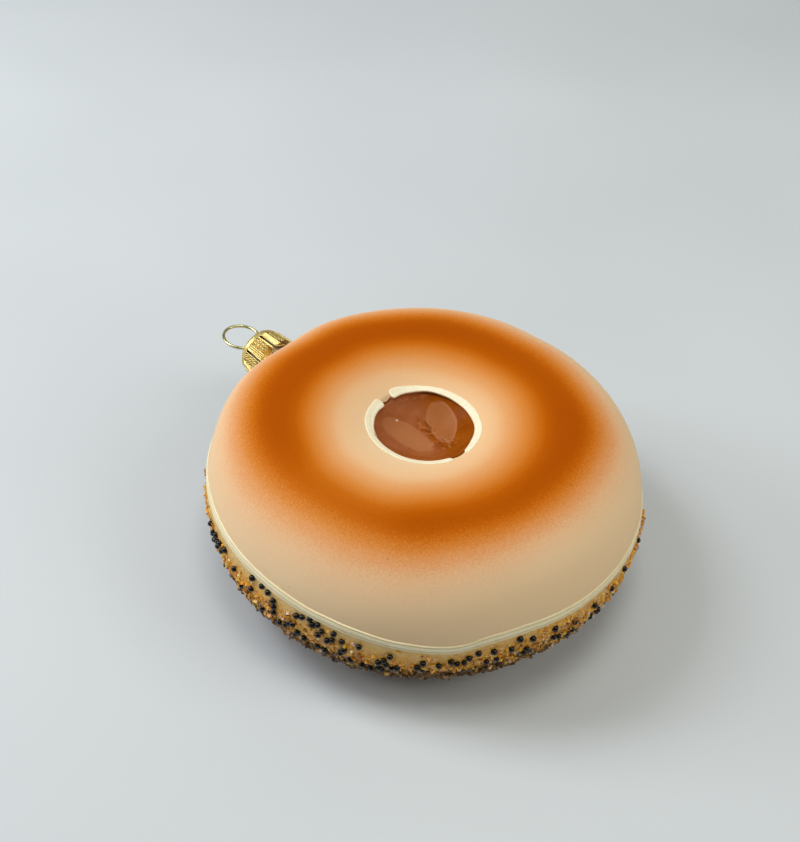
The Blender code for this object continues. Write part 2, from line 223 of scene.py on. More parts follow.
# Lights: name, direction faced, elevation, distance, size in metres, power, colour
LIGHTS = [
    ("key", -100, 50, 0.7, (0.24, 0.24), 1.9, COOL),
    ("low", -92, 25, 1.1, (0.4, 0.4), 3.9, COOL),
    ("top", 0, 88, 1.1, (0.45, 0.45), 3.6, WARM),
    ("fill", 80, 40, 1.1, (0.6, 0.6), 3.3, WARM),
    ("back", 178, 42, 1.2, (1.2, 0.5), 0.8, COOL),
]
SKY_COLOUR = (1.0, 0.98, 0.95, 1.0)
SKY_STRENGTH = 0.14
FLOOR_REACH = 4.0

rng = np.random.default_rng(20)


def facing(degrees):
    """The angle round the body of a direction that is counted from the camera's side."""
    return VIEW_ANGLE + np.radians(degrees)


# ---------------------------------------------------------------- meshes

def new_object(name, data):
    item = bpy.data.objects.new(name, data)
    bpy.context.scene.collection.objects.link(item)
    return item


def make_piece(name, vertices, faces, material, smooth=True):
    """A mesh object that rides on the body; its vertices are in the CAD model's frame."""
    mesh = bpy.data.meshes.new(name)
    faces = faces if isinstance(faces, list) else faces.tolist()
    mesh.from_pydata(np.asarray(vertices).tolist(), [], faces)
    mesh.validate()
    bm = bmesh.new()
    bm.from_mesh(mesh)
    bmesh.ops.recalc_face_normals(bm, faces=bm.faces)
    bm.to_mesh(mesh)
    bm.free()
    mesh.polygons.foreach_set("use_smooth", [smooth] * len(mesh.polygons))
    mesh.materials.append(material)
    mesh.update()
    piece = new_object(name, mesh)
    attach(piece, "root")
    return piece


def add_values(piece, name, values):
    attribute = piece.data.attributes.new(name, "FLOAT", "POINT")
    attribute.data.foreach_set("value", np.asarray(values, np.float32).ravel())


def add_colours(piece, name, values):
    attribute = piece.data.attributes.new(name, "FLOAT_COLOR", "POINT")
    with_alpha = np.concatenate([values, np.ones((len(values), 1))], 1)
    attribute.data.foreach_set("color", with_alpha.astype(np.float32).ravel())


def grid_quads(rows, columns):
    """Quads of a grid of points whose rows close into rings."""
    row = np.arange(rows - 1)[:, None] * columns
    here = np.arange(columns)[None, :]
    following = (here + 1) % columns
    corners = [row + here, row + columns + here, row + columns + following, row + following]
    return np.stack(corners, -1).reshape(-1, 4)


def closed_revolve(points):
    """Vertices and faces of rings whose first and last are closed with fans to their middles."""
    rows, columns, _ = points.shape
    faces = grid_quads(rows, columns).tolist()
    hub = rows * columns
    last = (rows - 1) * columns
    for k in range(columns):
        following = (k + 1) % columns
        faces.append([hub, k, following])
        faces.append([hub + 1, last + following, last + k])
    hubs = np.stack([points[0].mean(0), points[-1].mean(0)])
    return np.concatenate([points.reshape(-1, 3), hubs]), faces


def closed_sweep(sections):
    """Vertices and faces of closed cross-sections along a route, with both ends filled."""
    rows, columns, _ = sections.shape
    faces = grid_quads(rows, columns).tolist()
    last = (rows - 1) * columns
    faces.append(list(range(columns)))
    faces.append([last + k for k in reversed(range(columns))])
    return sections.reshape(-1, 3), faces


def full_turn(count):
    """Angles evenly spaced round a circle."""
    return np.linspace(0, 2 * math.pi, count, endpoint=False)


def around(radius, angles, height):
    """Points at a radius and a height, in directions in radians."""
    return np.stack(np.broadcast_arrays(radius * np.cos(angles), radius * np.sin(angles), height), -1)


def moved(points, matrix):
    """Points after a turn and a shift."""
    matrix = np.array(matrix)
    return points @ matrix[:3, :3].T + matrix[:3, 3]


def noise_at(points, scale, seed):
    """Perlin noise, about -1 to 1, at each point, with features of the given size."""
    shift = Vector((seed * 3.1, seed * 7.7, seed * 1.3))
    points = np.asarray(points)
    flat = points.reshape(-1, 3) / scale
    values = [noise.noise(Vector(p) + shift) for p in flat.tolist()]
    return np.array(values).reshape(points.shape[:-1])


def smooth_step(low, high, value):
    share = np.clip((value - low) / (high - low), 0, 1)
    return share * share * (3 - 2 * share)


def swelling(degrees, direction, width):
    """A bell-shaped rise: 1 in its direction, and less over a width in degrees."""
    away = (degrees - direction + 180) % 360 - 180
    return np.exp(-(away / width) ** 2)


def swollen(base, places, degrees):
    """A value that differs from its base in a few directions."""
    for direction, width, amount in places:
        base = base + amount * swelling(degrees, direction, width)
    return base


def rounded_tip(to_end, length):
    """Share of a stroke's width and rise, near its round ends."""
    return np.sqrt(np.clip(1 - (1 - np.clip(to_end / length, 0, 1)) ** 2, 0.01, 1))


# ---------------------------------------------------------------- shape of the glass

def bare_radius(height):
    """Radius of the bare glass at a height over the seam plane."""
    height = np.asarray(height, float)
    reach = np.where(height >= 0, UPPER_HEIGHT, LOWER_HEIGHT)
    share = np.clip(np.abs(height) / reach, 0, 1)
    bulge = (1 - share ** OUTER_ROUNDNESS) ** (1 / OUTER_ROUNDNESS)
    return CREST_RADIUS + (BODY_RADIUS - CREST_RADIUS) * bulge


def through_keys(table, angle, column=1):
    """A smooth curve round the body, through one column of a table whose first is the direction faced."""
    degrees = np.degrees(np.asarray(angle, float) - VIEW_ANGLE)
    degrees = (degrees + 90) % 360 - 90
    rows = [(row[0], row[column]) for row in table]
    keys = np.array([(rows[-1][0] - 360, rows[-1][1]), *rows, (rows[0][0] + 360, rows[0][1])])
    slopes = np.gradient(keys[:, 1], keys[:, 0])
    right = np.clip(np.searchsorted(keys[:, 0], degrees, side="right"), 1, len(keys) - 1)
    left = right - 1
    step = keys[right, 0] - keys[left, 0]
    t = (degrees - keys[left, 0]) / step
    first = (2 * t ** 3 - 3 * t ** 2 + 1) * keys[left, 1] + (t ** 3 - 2 * t ** 2 + t) * step * slopes[left]
    second = (3 * t ** 2 - 2 * t ** 3) * keys[right, 1] + (t ** 3 - t ** 2) * step * slopes[right]
    return first + second


def seam_height(angle):
    """Height of the seam line's middle over the seam plane."""
    return through_keys(SEAM_KEYS, angle) * MM


def dimple_fall(share):
    """Depth of a dimple as a share of its full depth, at a share of its radius."""
    return (1 - np.clip(share, 0, 1) ** DIMPLE_FLATNESS) ** DIMPLE_ROUNDING


def top_height(radius):
    """Height of the painted side, from the dimple's middle over the crest to the seam plane."""
    radius = np.asarray(radius, float)
    bowl = RIM_HEIGHT - DIMPLE_DEPTH * dimple_fall(radius / DIMPLE_RADIUS)
    share = np.clip((radius - DIMPLE_RADIUS) / (CREST_RADIUS - DIMPLE_RADIUS), 0, 1)
    slope = RIM_HEIGHT + DIMPLE_RIM_DROP * (1 - (1 - share) ** 2)
    over = np.clip((radius - CREST_RADIUS) / (BODY_RADIUS - CREST_RADIUS), 0, 1)
    outer = UPPER_HEIGHT * (1 - over ** OUTER_ROUNDNESS) ** (1 / OUTER_ROUNDNESS)
    return np.where(radius < DIMPLE_RADIUS, bowl, np.where(radius < CREST_RADIUS, slope, outer))


def dimple_shift(radius):
    """The dimple lies off centre, and its offset fades out towards the crest."""
    share = np.clip((CREST_RADIUS - radius) / (CREST_RADIUS - DIMPLE_RADIUS), 0, 1)
    offset = DIMPLE_OFFSET * share
    return offset * math.cos(DIMPLE_OFFSET_ANGLE), offset * math.sin(DIMPLE_OFFSET_ANGLE)


def top_point(radius, angle, lift=0.0):
    """Points on the painted side, lifted straight up."""
    shift_x, shift_y = dimple_shift(radius)
    x = radius * np.cos(angle) + shift_x
    y = radius * np.sin(angle) + shift_y
    return np.stack(np.broadcast_arrays(x, y, top_height(radius) + lift), -1) + np.array(CENTRE)


def blown_unevenness(angle, height):
    """The glass swells and dents a little, as mouth-blown glass does."""
    swell = 0.10 * MM * np.cos(3 * angle - 1.0) + 0.06 * MM * np.cos(5 * angle + 0.7 + height / (9 * MM))
    dents = 0.0
    for direction, width, depth, none, full in DENTS:
        share = np.degrees((angle - facing(direction) + math.pi) % (2 * math.pi) - math.pi) / width
        dents = dents + depth * MM * np.exp(-share ** 2) * smooth_step(none * MM, full * MM, height)
    return swell - dents


# ---------------------------------------------------------------- node materials

def colour(red, green, blue):
    """Linear colour with alpha, from display values of 0 to 255."""
    linear = []
    for value in (red, green, blue):
        share = value / 255
        linear.append(share / 12.92 if share <= 0.04045 else ((share + 0.055) / 1.055) ** 2.4)
    return (*linear, 1.0)


class Paint:
    """A material and short calls for the nodes that its surface is worked out with."""

    def __init__(self, name, **constants):
        self.material = bpy.data.materials.new(name)
        self.material.use_nodes = True
        self.tree = self.material.node_tree
        self.shader = self.tree.nodes["Principled BSDF"]
        for socket, value in constants.items():
            self.shader.inputs[socket.replace("_", " ")].default_value = value
        self.place = self.add("ShaderNodeTexCoord").outputs["Object"]

    def add(self, kind, **settings):
        node = self.tree.nodes.new(kind)
        for name, value in settings.items():
            setattr(node, name, value)
        return node

    def feed(self, value, socket):
        if isinstance(value, bpy.types.NodeSocket):
            self.tree.links.new(value, socket)
        else:
            socket.default_value = value

    def combine(self, operation, first, second):
        node = self.add("ShaderNodeMath", operation=operation)
        self.feed(first, node.inputs[0])
        self.feed(second, node.inputs[1])
        return node.outputs[0]

    def grain(self, size, detail=2.0, roughness=0.5):
        """Noise, about 0 to 1, with features of the given size."""
        node = self.add("ShaderNodeTexNoise")
        self.feed(self.place, node.inputs["Vector"])
        self.feed(1 / size, node.inputs["Scale"])
        self.feed(detail, node.inputs["Detail"])
        self.feed(roughness, node.inputs["Roughness"])
        return node.outputs[0]

    def spots(self, size):
        """Cells about as wide as the given size."""
        node = self.add("ShaderNodeTexVoronoi")
        self.feed(self.place, node.inputs["Vector"])
        self.feed(1 / size, node.inputs["Scale"])
        return node

    def span(self, value, low, high, to_low=0.0, to_high=1.0):
        node = self.add("ShaderNodeMapRange")
        for number, socket in zip((value, low, high, to_low, to_high), node.inputs):
            self.feed(number, socket)
        return node.outputs[0]

    def ramp(self, value, stops):
        """A colour from places and colours along a scale of 0 to 1."""
        node = self.add("ShaderNodeValToRGB")
        elements = node.color_ramp.elements
        while len(elements) < len(stops):
            elements.new(0.5)
        for element, (position, shade) in zip(elements, stops):
            element.position = position
            element.color = colour(*shade)
        self.feed(value, node.inputs[0])
        return node.outputs[0]

    def curve(self, value, points):
        """A smooth curve through points from 0 to 1."""
        node = self.add("ShaderNodeFloatCurve")
        line = node.mapping.curves[0]
        for place in points[1:-1]:
            line.points.new(*place)
        line.points[0].location = points[0]
        line.points[-1].location = points[-1]
        node.mapping.update()
        self.feed(value, node.inputs["Value"])
        return node.outputs[0]

    def mix(self, share, first, second):
        """The first colour with a share of the second, which may be a node's colour or display values."""
        node = self.add("ShaderNodeMix", data_type="RGBA")
        sockets = [socket for socket in node.inputs if socket.enabled]
        second = colour(*second) if isinstance(second, tuple) else second
        for value, socket in zip((share, first, second), sockets):
            self.feed(value, socket)
        return [socket for socket in node.outputs if socket.enabled][0]

    def value_of(self, name):
        return self.add("ShaderNodeAttribute", attribute_name=name).outputs["Fac"]

    def colour_of(self, name):
        return self.add("ShaderNodeAttribute", attribute_name=name).outputs["Color"]

    def red_of(self, shade):
        node = self.add("ShaderNodeSeparateColor")
        self.feed(shade, node.inputs[0])
        return node.outputs[0]

    def finish(self, base, roughness, height=None, depth=0.1 * MM, strength=1.0):
        self.feed(base, self.shader.inputs["Base Color"])
        self.feed(roughness, self.shader.inputs["Roughness"])
        if height is not None:
            bump = self.add("ShaderNodeBump")
            self.feed(strength, bump.inputs["Strength"])
            self.feed(depth, bump.inputs["Distance"])
            self.feed(height, bump.inputs["Height"])
            self.feed(bump.outputs[0], self.shader.inputs["Normal"])
        return self.material


def airbrushed_paint():
    """Cream ground with a toasted ring that was sprayed on, so its edges are soft and speckled."""
    paint = Paint("airbrushed_cream", Specular_IOR_Level=0.03)
    speckle = paint.span(paint.grain(0.32 * MM, 3.0, 0.7), 0.2, 0.8, -0.07, 0.07)
    fine = paint.combine("MULTIPLY", speckle, 0.4)
    inward = paint.curve(paint.combine("ADD", paint.value_of("inward"), fine), [
        (0.0, 0.0), (0.12, 0.01), (0.2, 0.09), (0.27, 0.15), (0.33, 0.2), (0.42, 0.35),
        (0.5, 0.5), (0.6, 0.74), (0.68, 0.93), (0.75, 1.0), (1.0, 1.0),
    ])
    outward = paint.curve(paint.combine("ADD", paint.value_of("outward"), speckle), [
        (0.0, 0.0), (0.25, 0.03), (0.36, 0.18), (0.43, 0.34), (0.5, 0.5), (0.61, 0.75),
        (0.7, 0.94), (0.78, 1.0), (1.0, 1.0),
    ])
    sprayed = paint.combine("MULTIPLY", inward, outward)
    density = paint.combine("MULTIPLY", sprayed, paint.value_of("deepness"))
    toasted = paint.ramp(density, [
        (0.0, (240, 210, 169)), (0.15, (237, 196, 150)), (0.32, (228, 166, 109)),
        (0.52, (215, 136, 62)), (0.72, (199, 108, 21)), (0.87, (184, 90, 2)),
        (1.0, (172, 79, 0)),
    ])
    outer_mist = paint.curve(paint.value_of("outward"), [
        (0.0, 0.0), (0.15, 0.0), (0.3, 0.3), (0.42, 0.4), (0.55, 0.0), (1.0, 0.0),
    ])
    mist_share = paint.combine("MULTIPLY", outer_mist, paint.grain(0.6 * MM, 2.0, 0.6))
    misted = paint.mix(mist_share, toasted, (226, 150, 108))
    flecks = paint.spots(3.1 * MM)
    near = paint.combine("LESS_THAN", flecks.outputs["Distance"], 0.035)
    rare = paint.combine("GREATER_THAN", paint.red_of(flecks.outputs["Color"]), 0.93)
    fleck_share = paint.combine("MULTIPLY", paint.combine("MULTIPLY", near, rare), 0.6)
    base = paint.mix(fleck_share, misted, (96, 58, 24))
    skin = paint.grain(0.5 * MM, 3.0, 0.6)
    roughness = paint.span(skin, 0.3, 0.7, 0.42, 0.54)
    return paint.finish(base, roughness, skin, 0.02 * MM, 0.5)


def lacquer_paint():
    """Thick glossy brown, brushed on unevenly, cloudy where it lies thin; its pale patches are partly thin
    places and partly painted reflection, its pale traces are partly painted highlight, and one spot is a
    painted glint.
    """
    paint = Paint("brown_lacquer", Specular_IOR_Level=0.03)
    drift = paint.grain(2.5 * MM)
    warm = paint.ramp(drift, [(0.3, (140, 68, 4)), (0.7, (152, 80, 14))])
    dull = paint.ramp(drift, [(0.3, (160, 92, 54)), (0.7, (170, 102, 62))])
    deep = paint.mix(paint.value_of("dull"), warm, dull)
    # Pale patches: cloudy thin lacquer, and partly a painted reflection
    milky_and_reflection = paint.mix(paint.value_of("milky_and_reflection"), deep, (180, 121, 77))
    # Pale traces: raised brush lines and the leaf's rim, paler partly as painted highlight
    traced_highlights = paint.mix(paint.value_of("traced_highlights"), milky_and_reflection, (196, 134, 100))
    pooled = paint.mix(paint.value_of("pooled"), traced_highlights, (86, 40, 10))
    # Painted highlight: a tiny pale glint
    glinting = paint.mix(paint.value_of("glint"), pooled, (240, 214, 190))
    skin = paint.grain(0.9 * MM)
    return paint.finish(glinting, paint.span(skin, 0.3, 0.7, 0.2, 0.34), skin, 0.03 * MM, 0.4)


def cream_paint(name, full, pale, hollow):
    """Glossy cream enamel drawn with a fine brush; its groove value mixes in a darker colour, which is
    painted shade between the seam line's ridges and faint streaks on the strokes.
    """
    paint = Paint(name, Coat_Weight=0.15, Coat_Roughness=0.15, Specular_IOR_Level=0.3)
    streak = paint.grain(1.4 * MM, 3.0, 0.6)
    ground = paint.ramp(streak, [(0.3, full), (0.7, pale)])
    grooved = paint.mix(paint.value_of("groove"), ground, hollow)
    skin = paint.grain(0.4 * MM, 3.0, 0.6)
    return paint.finish(grooved, paint.span(skin, 0.3, 0.7, 0.24, 0.42), skin, 0.04 * MM, 0.6)


def glue_paint():
    """Glue over fine glass: smooth and beige under the seam line, amber and grainy, then darker brown lower
    on the side, which is painted shade, and less dark underneath.
    """
    paint = Paint("glue_coat", Coat_Weight=0.25, Coat_Roughness=0.1, Specular_IOR_Level=0.3)
    drop = paint.value_of("drop")
    wander = paint.span(paint.grain(3 * MM), 0.2, 0.8, -1.4 * MM, 1.4 * MM)
    fall = paint.combine("ADD", drop, wander)
    base = paint.ramp(paint.span(fall, 0.0, 16 * MM), [
        (0.0, (232, 198, 136)), (0.14, (230, 184, 100)), (0.3, (226, 162, 46)),
        (0.48, (196, 120, 8)), (0.66, (150, 84, 8)), (1.0, (196, 128, 34)),
    ])
    cells = paint.spots(0.75 * MM)
    grains = paint.ramp(paint.red_of(cells.outputs["Color"]), [
        (0.0, (150, 84, 8)), (0.35, (210, 144, 28)), (0.7, (236, 184, 72)),
        (1.0, (248, 218, 142)),
    ])
    grainy = paint.mix(paint.span(fall, 1.5 * MM, 4.5 * MM, 0.0, 0.5), base, grains)
    # Painted shade: darker lower on the side, less dark underneath
    deep_shade = paint.curve(paint.span(fall, 0.0, 16 * MM), [
        (0.0, 0.0), (0.36, 0.0), (0.6, 0.86), (0.74, 0.78), (0.92, 0.5), (1.0, 0.45),
    ])
    deep = paint.mix(deep_shade, grainy, (56, 24, 4))
    skin = paint.combine("ADD", paint.grain(0.8 * MM, 3.0, 0.6), cells.outputs["Distance"])
    return paint.finish(deep, paint.span(skin, 0.4, 1.2, 0.2, 0.4), skin, 0.2 * MM, 0.7)


def grain_paint(name, roughness_low, roughness_high):
    """Glass crumbs or chips, each with its own tint."""
    paint = Paint(name, Coat_Weight=0.1, Coat_Roughness=0.06, Specular_IOR_Level=0.22)
    cloud = paint.grain(0.5 * MM)
    base = paint.mix(paint.span(cloud, 0.35, 0.7, 0.0, 0.22), paint.colour_of("tint"), (236, 200, 138))
    roughness = paint.span(cloud, 0.3, 0.7, roughness_low, roughness_high)
    return paint.finish(base, roughness, cloud, 0.05 * MM, 0.5)


def bead_paint():
    """Black glass, very slightly lighter in places."""
    paint = Paint("black_glass", Specular_IOR_Level=0.4)
    cloud = paint.grain(0.7 * MM)
    base = paint.ramp(cloud, [(0.35, (0, 0, 0)), (0.75, (6, 6, 7))])
    return paint.finish(base, paint.span(cloud, 0.3, 0.7, 0.03, 0.08), cloud, 0.02 * MM, 0.2)


def gold_paint():
    """Thin stamped brass with a gold wash; it is darker in the stamped hollows and on the inside, which is
    painted shade.
    """
    paint = Paint("stamped_gold", Metallic=0.7)
    tarnish = paint.grain(1.6 * MM, 3.0, 0.6)
    bright = paint.ramp(tarnish, [(0.3, (240, 214, 124)), (0.7, (252, 238, 168))])
    # Painted shade in the stamped hollows and on the cap's inside
    base = paint.mix(paint.value_of("hollow"), bright, (146, 102, 20))
    fine = paint.grain(0.25 * MM, 2.0, 0.6)
    return paint.finish(base, paint.span(fine, 0.3, 0.7, 0.24, 0.4), fine, 0.02 * MM, 0.5)


def wire_paint():
    """Pale brass wire with fine drawing marks."""
    paint = Paint("pale_brass_wire", Metallic=1.0)
    tarnish = paint.grain(1.2 * MM, 3.0, 0.6)
    base = paint.ramp(tarnish, [(0.3, (186, 178, 120)), (0.7, (222, 216, 164))])
    fine = paint.grain(0.2 * MM, 2.0, 0.6)
    return paint.finish(base, paint.span(fine, 0.3, 0.7, 0.18, 0.34), fine, 0.01 * MM, 0.5)


# ---------------------------------------------------------------- glass and paint

def glass_rings(angles, levels):
    """Rings of the bare glass over the whole body, and the radius of each on the painted side."""
    rings, reaches = [], []

    def add(radius, height, shift_radius=None):
        shift = dimple_shift(CREST_RADIUS if shift_radius is None else shift_radius)
        share = radius / BODY_RADIUS
        swell = blown_unevenness(angles, height) * share * smooth_step(0.25, 0.5, share)
        x = (radius + swell) * np.cos(angles) + shift[0]
        y = (radius + swell) * np.sin(angles) + shift[1]
        rings.append(np.stack([x, y, np.full_like(x, height)], -1))
        reaches.append(radius if height > 0 else 2 * BODY_RADIUS)

    for radius in DIMPLE_RADIUS * np.linspace(0.06, 1, levels // 4, endpoint=False):
        add(radius, float(top_height(radius)) - 0.1 * MM, radius)
    for radius in np.linspace(DIMPLE_RADIUS, CREST_RADIUS, levels // 3, endpoint=False):
        add(radius, float(top_height(radius)), radius)
    for turn in np.linspace(math.pi / 2, -math.pi / 2, levels):
        reach = UPPER_HEIGHT if turn > 0 else LOWER_HEIGHT
        height = reach * math.copysign(abs(math.sin(turn)) ** (2 / OUTER_ROUNDNESS), turn)
        below_coat = 0.25 * MM if turn < -0.3 else 0.0
        add(float(bare_radius(height)) - below_coat, height)
    for radius in np.linspace(CREST_RADIUS, UNDER_DIMPLE_RADIUS, levels // 8)[1:]:
        share = (CREST_RADIUS - radius) / (CREST_RADIUS - UNDER_DIMPLE_RADIUS)
        add(radius, -LOWER_HEIGHT + DIMPLE_RIM_DROP * share ** 2)
    for share in np.linspace(1, 0.08, levels // 8)[1:]:
        height = -LOWER_HEIGHT + DIMPLE_RIM_DROP + UNDER_DIMPLE_DEPTH * dimple_fall(share)
        add(UNDER_DIMPLE_RADIUS * share, height)
    return np.stack(rings) + np.array(CENTRE), np.array(reaches)


def make_glass(material):
    """The glass, which stores for the paint how far each point is inside the toasted ring's edges."""
    angles = full_turn(GLASS_COLUMNS)
    points, reaches = glass_rings(angles, GLASS_LEVELS)
    vertices, faces = closed_revolve(points)
    glass = make_piece("painted_glass_body", vertices, faces, material)
    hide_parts("glass_body")
    inner, outer, deepness = [through_keys(RING_KEYS, angles, column) for column in (1, 2, 3)]
    drift = 0.5 * MM * noise_at(points, 14 * MM, 71)
    inward = 0.5 + (reaches[:, None] + drift - inner * MM) / RING_INNER_FADE / 6
    outward = 0.5 + (outer * MM - drift - reaches[:, None]) / RING_OUTER_FADE / 6
    for name, values in (("inward", inward), ("outward", outward), ("deepness", deepness + 0 * drift)):
        add_values(glass, name, np.append(np.clip(values, 0, 1).ravel(), [0.0, 0.0]))


def make_neck(material):
    """The neck and its shoulder, along the cap's axis, with an open end under the cap."""
    share = np.linspace(0, 1, 12)
    flare = (NECK_SHOULDER_RADIUS - NECK_RADIUS) * (1 - share) ** NECK_SHOULDER_FLARE
    along = NECK_SHOULDER_START + (NECK_SHOULDER_END - NECK_SHOULDER_START) * share
    profile = [(NECK_SHOULDER_RADIUS, NECK_ROOT), *zip(NECK_RADIUS + flare, along), (NECK_RADIUS, NECK_END)]
    profile += [(NECK_RADIUS - NECK_WALL, NECK_END), (NECK_RADIUS - NECK_WALL, NECK_SHOULDER_END)]
    rings = np.stack([around(radius, full_turn(NECK_SIDES), height) for radius, height in profile])
    vertices, faces = closed_revolve(moved(rings, AXIS_PLACE))
    make_piece("neck", vertices, faces, material)


def seen_place(points):
    """Right and up, as the camera's side sees the dimple, from the middle of its rim."""
    shift_x, shift_y = dimple_shift(0.0)
    offset = points - (np.array(CENTRE) + np.array([shift_x, shift_y, RIM_HEIGHT]))
    away = offset[..., 0] * -math.cos(VIEW_ANGLE) + offset[..., 1] * -math.sin(VIEW_ANGLE)
    right = offset[..., 0] * -math.sin(VIEW_ANGLE) + offset[..., 1] * math.cos(VIEW_ANGLE)
    rise = away * math.sin(CAMERA_ELEVATION) + offset[..., 2] * math.cos(CAMERA_ELEVATION)
    return right / MM, rise / MM


def patch(right, up, middle, lengths, tilt, softness):
    """A leaf-shaped patch, 1 inside and 0 outside, its long way tilted by an angle."""
    turn = math.radians(tilt)
    along = (right - middle[0]) * math.cos(turn) + (up - middle[1]) * math.sin(turn)
    across = (up - middle[1]) * math.cos(turn) - (right - middle[0]) * math.sin(turn)
    reach = np.hypot(along / lengths[0], across / lengths[1])
    return 1 - smooth_step(1 - softness, 1 + softness, reach)


def make_lacquer(material):
    """The lacquer as a closed skin in the dimple, which stores for the paint its thin and pooled places,
    pale patches and traces that are partly painted reflection and highlight, and a painted glint.
    """
    angles = full_turn(GLASS_COLUMNS)
    degrees = np.degrees(angles - facing(0))
    edge = rim_edge(LACQUER_RADIUS, degrees) + 0.05 * MM * np.cos(5 * angles + 1)
    edge = swollen(edge, LACQUER_GAPS, degrees)
    shares = np.linspace(0.02, 1, LACQUER_ROWS)
    radius = shares[:, None] * edge[None, :]
    ground = top_point(radius, angles[None, :])
    right, up = seen_place(ground)
    wander = 0.45 * noise_at(ground, 2.6 * MM, 3)
    bent_right, bent_up = right + wander, up - wander
    # Crescent and leaf: pale patches that are partly thin lacquer and partly painted reflection
    crescent = patch(bent_right, bent_up, (-3.0, -2.85), (6.0, 2.05), -24, 0.07)
    crescent = crescent * (1 - patch(bent_right, bent_up, (0.6, 0.9), (4.9, 2.5), -34, 0.12))
    leaf = patch(right - wander, up + wander, (3.5, 0.7), (4.4, 2.6), -62, 0.05)
    wide_leaf = patch(right - wander, up + wander, (3.7, 0.8), (4.75, 2.95), -62, 0.04)
    # The leaf's pale rim and the pale fine lines are partly painted highlight on raised lacquer
    outline = np.clip(wide_leaf - leaf, 0, 1) * smooth_step(1.5, 4.0, right)
    spread = patch(right, up, (-6.0, 0.5), (6.5, 6.0), 0, 0.5)
    low = patch(right, up, (-1.5, -5.0), (6.0, 2.2), -8, 0.4)
    swirl = patch(right, up, (0.7, -0.9), (2.6, 1.3), -35, 0.5)
    corner = patch(right, up, (4.8, -3.6), (3.0, 1.3), 25, 0.5)
    whirl = 2.2 * noise_at(ground, 1.9 * MM, 13)
    combed = noise_at(np.stack([right + whirl, up * 1.3 - whirl, 0 * right], -1) * MM, 0.8 * MM, 9)
    fine_lines = smooth_step(0.2, 0.34, combed) * np.clip(0.6 * swirl + corner, 0, 1)
    dark_lines = smooth_step(0.12, 0.3, -combed) * np.clip(swirl + 0.5 * corner, 0, 1)
    # Painted highlight: a tiny pale glint on the lacquer
    glint = 0.8 * patch(right, up, (-5.5, -0.1), (0.24, 0.22), 0, 0.6)
    rim_side = patch(right, up, (-5.2, 4.2), (6.5, 1.6), 28, 0.5) * smooth_step(0.72, 0.88, shares)[:, None]
    slanted = np.stack([right, up * 3.4 - right * 1.6, 0 * up], -1)
    brushed = smooth_step(0.05, 0.3, noise_at(slanted * MM, 1.5 * MM, 5))
    lumps = 0.05 * noise_at(ground, 2.2 * MM, 7) + 0.06 * crescent + 0.08 * leaf + 0.10 * fine_lines
    lumps = lumps + 0.08 * brushed * rim_side + 0.06 * outline
    thickness = LACQUER_THICKNESS * np.sqrt(np.clip(1 - shares ** 14, 0, 1))[:, None]
    rise = thickness + lumps * MM * smooth_step(1, 0.9, shares)[:, None]
    top = ground + np.stack([0 * radius, 0 * radius, rise], -1)
    under = ground[::LACQUER_UNDER_STEP] - np.array([0, 0, 0.25 * MM])
    points = np.concatenate([under, top[::-1]])
    vertices, faces = closed_revolve(points)
    piece = make_piece("dimple_lacquer", vertices, faces, material)
    rim = smooth_step(0.955, 0.99, shares)[:, None] * np.ones_like(right)
    stores = {
        "dull": np.clip(0.9 * spread + 0.7 * low, 0, 1) * (1 - 0.6 * swirl),
        "milky_and_reflection": np.clip(0.6 * crescent + 0.5 * leaf, 0, 1),
        "traced_highlights": np.clip(0.5 * outline + 0.4 * fine_lines + 0.3 * brushed * rim_side, 0, 1),
        "pooled": np.clip(0.75 * rim + 0.45 * dark_lines, 0, 1),
        "glint": glint,
    }
    for name, values in stores.items():
        whole = np.concatenate([values[::LACQUER_UNDER_STEP], values[::-1]])
        add_values(piece, name, np.append(whole.ravel(), [0.0, 0.0]))


def rim_edge(radius, degrees):
    """Radius of a painted edge in the dimple, which is shifted towards the camera and isn't round."""
    return swollen(radius + STROKE_SHIFT * np.cos(np.radians(degrees)), RIM_SWELLINGS, degrees)


def make_strokes(material):
    """Two raised strokes of a round brush that lap over the lacquer's edge."""
    for number, (start, end) in enumerate(STROKES):
        degrees = np.linspace(start, end, STROKE_STEPS)
        angles = facing(degrees)
        to_end = np.minimum(degrees - start, end - degrees) * math.radians(1) * STROKE_OUTER_RADIUS
        tip = rounded_tip(to_end, STROKE_TIP)
        fullness = through_keys(STROKE_KEYS, angles) * MM
        ring = around(1, angles, 0)
        uneven = 0.09 * noise_at(ring, 0.3, 11 + number)
        width = fullness * tip * (1 + uneven)
        wander = 0.1 * MM * noise_at(ring, 0.4, 21 + number)
        middle = rim_edge(STROKE_OUTER_RADIUS, degrees) - fullness / 2 + wander
        across = np.linspace(-1, 1, 17)
        dome = np.clip(1 - across ** 4, 0, 1) ** 0.5
        groove = 0.05 * np.cos(across * 8 + 2 * noise_at(ring, 0.8, 31)[:, None])
        radius = middle[:, None] + across[None, :] * width[:, None] / 2
        rise = STROKE_RISE * tip[:, None] * dome[None, :] * (1 + groove)
        bridged = np.maximum(0, (RIM_HEIGHT - (DIMPLE_RADIUS - radius) * 0.35) - top_height(radius))
        over = top_point(radius, angles[:, None], rise + bridged)
        low_across = np.linspace(1, -1, 5)[1:-1]
        low_radius = middle[:, None] + low_across[None, :] * width[:, None] / 2
        below = top_point(low_radius, angles[:, None], -0.15 * MM)
        vertices, faces = closed_sweep(np.concatenate([over, below], 1))
        piece = make_piece(f"hole_stroke_{number + 1}", vertices, faces, material)
        shade = np.concatenate([0.02 + groove * 1.4, np.zeros((len(angles), 3))], 1)
        add_values(piece, "groove", np.clip(shade, 0, 1))


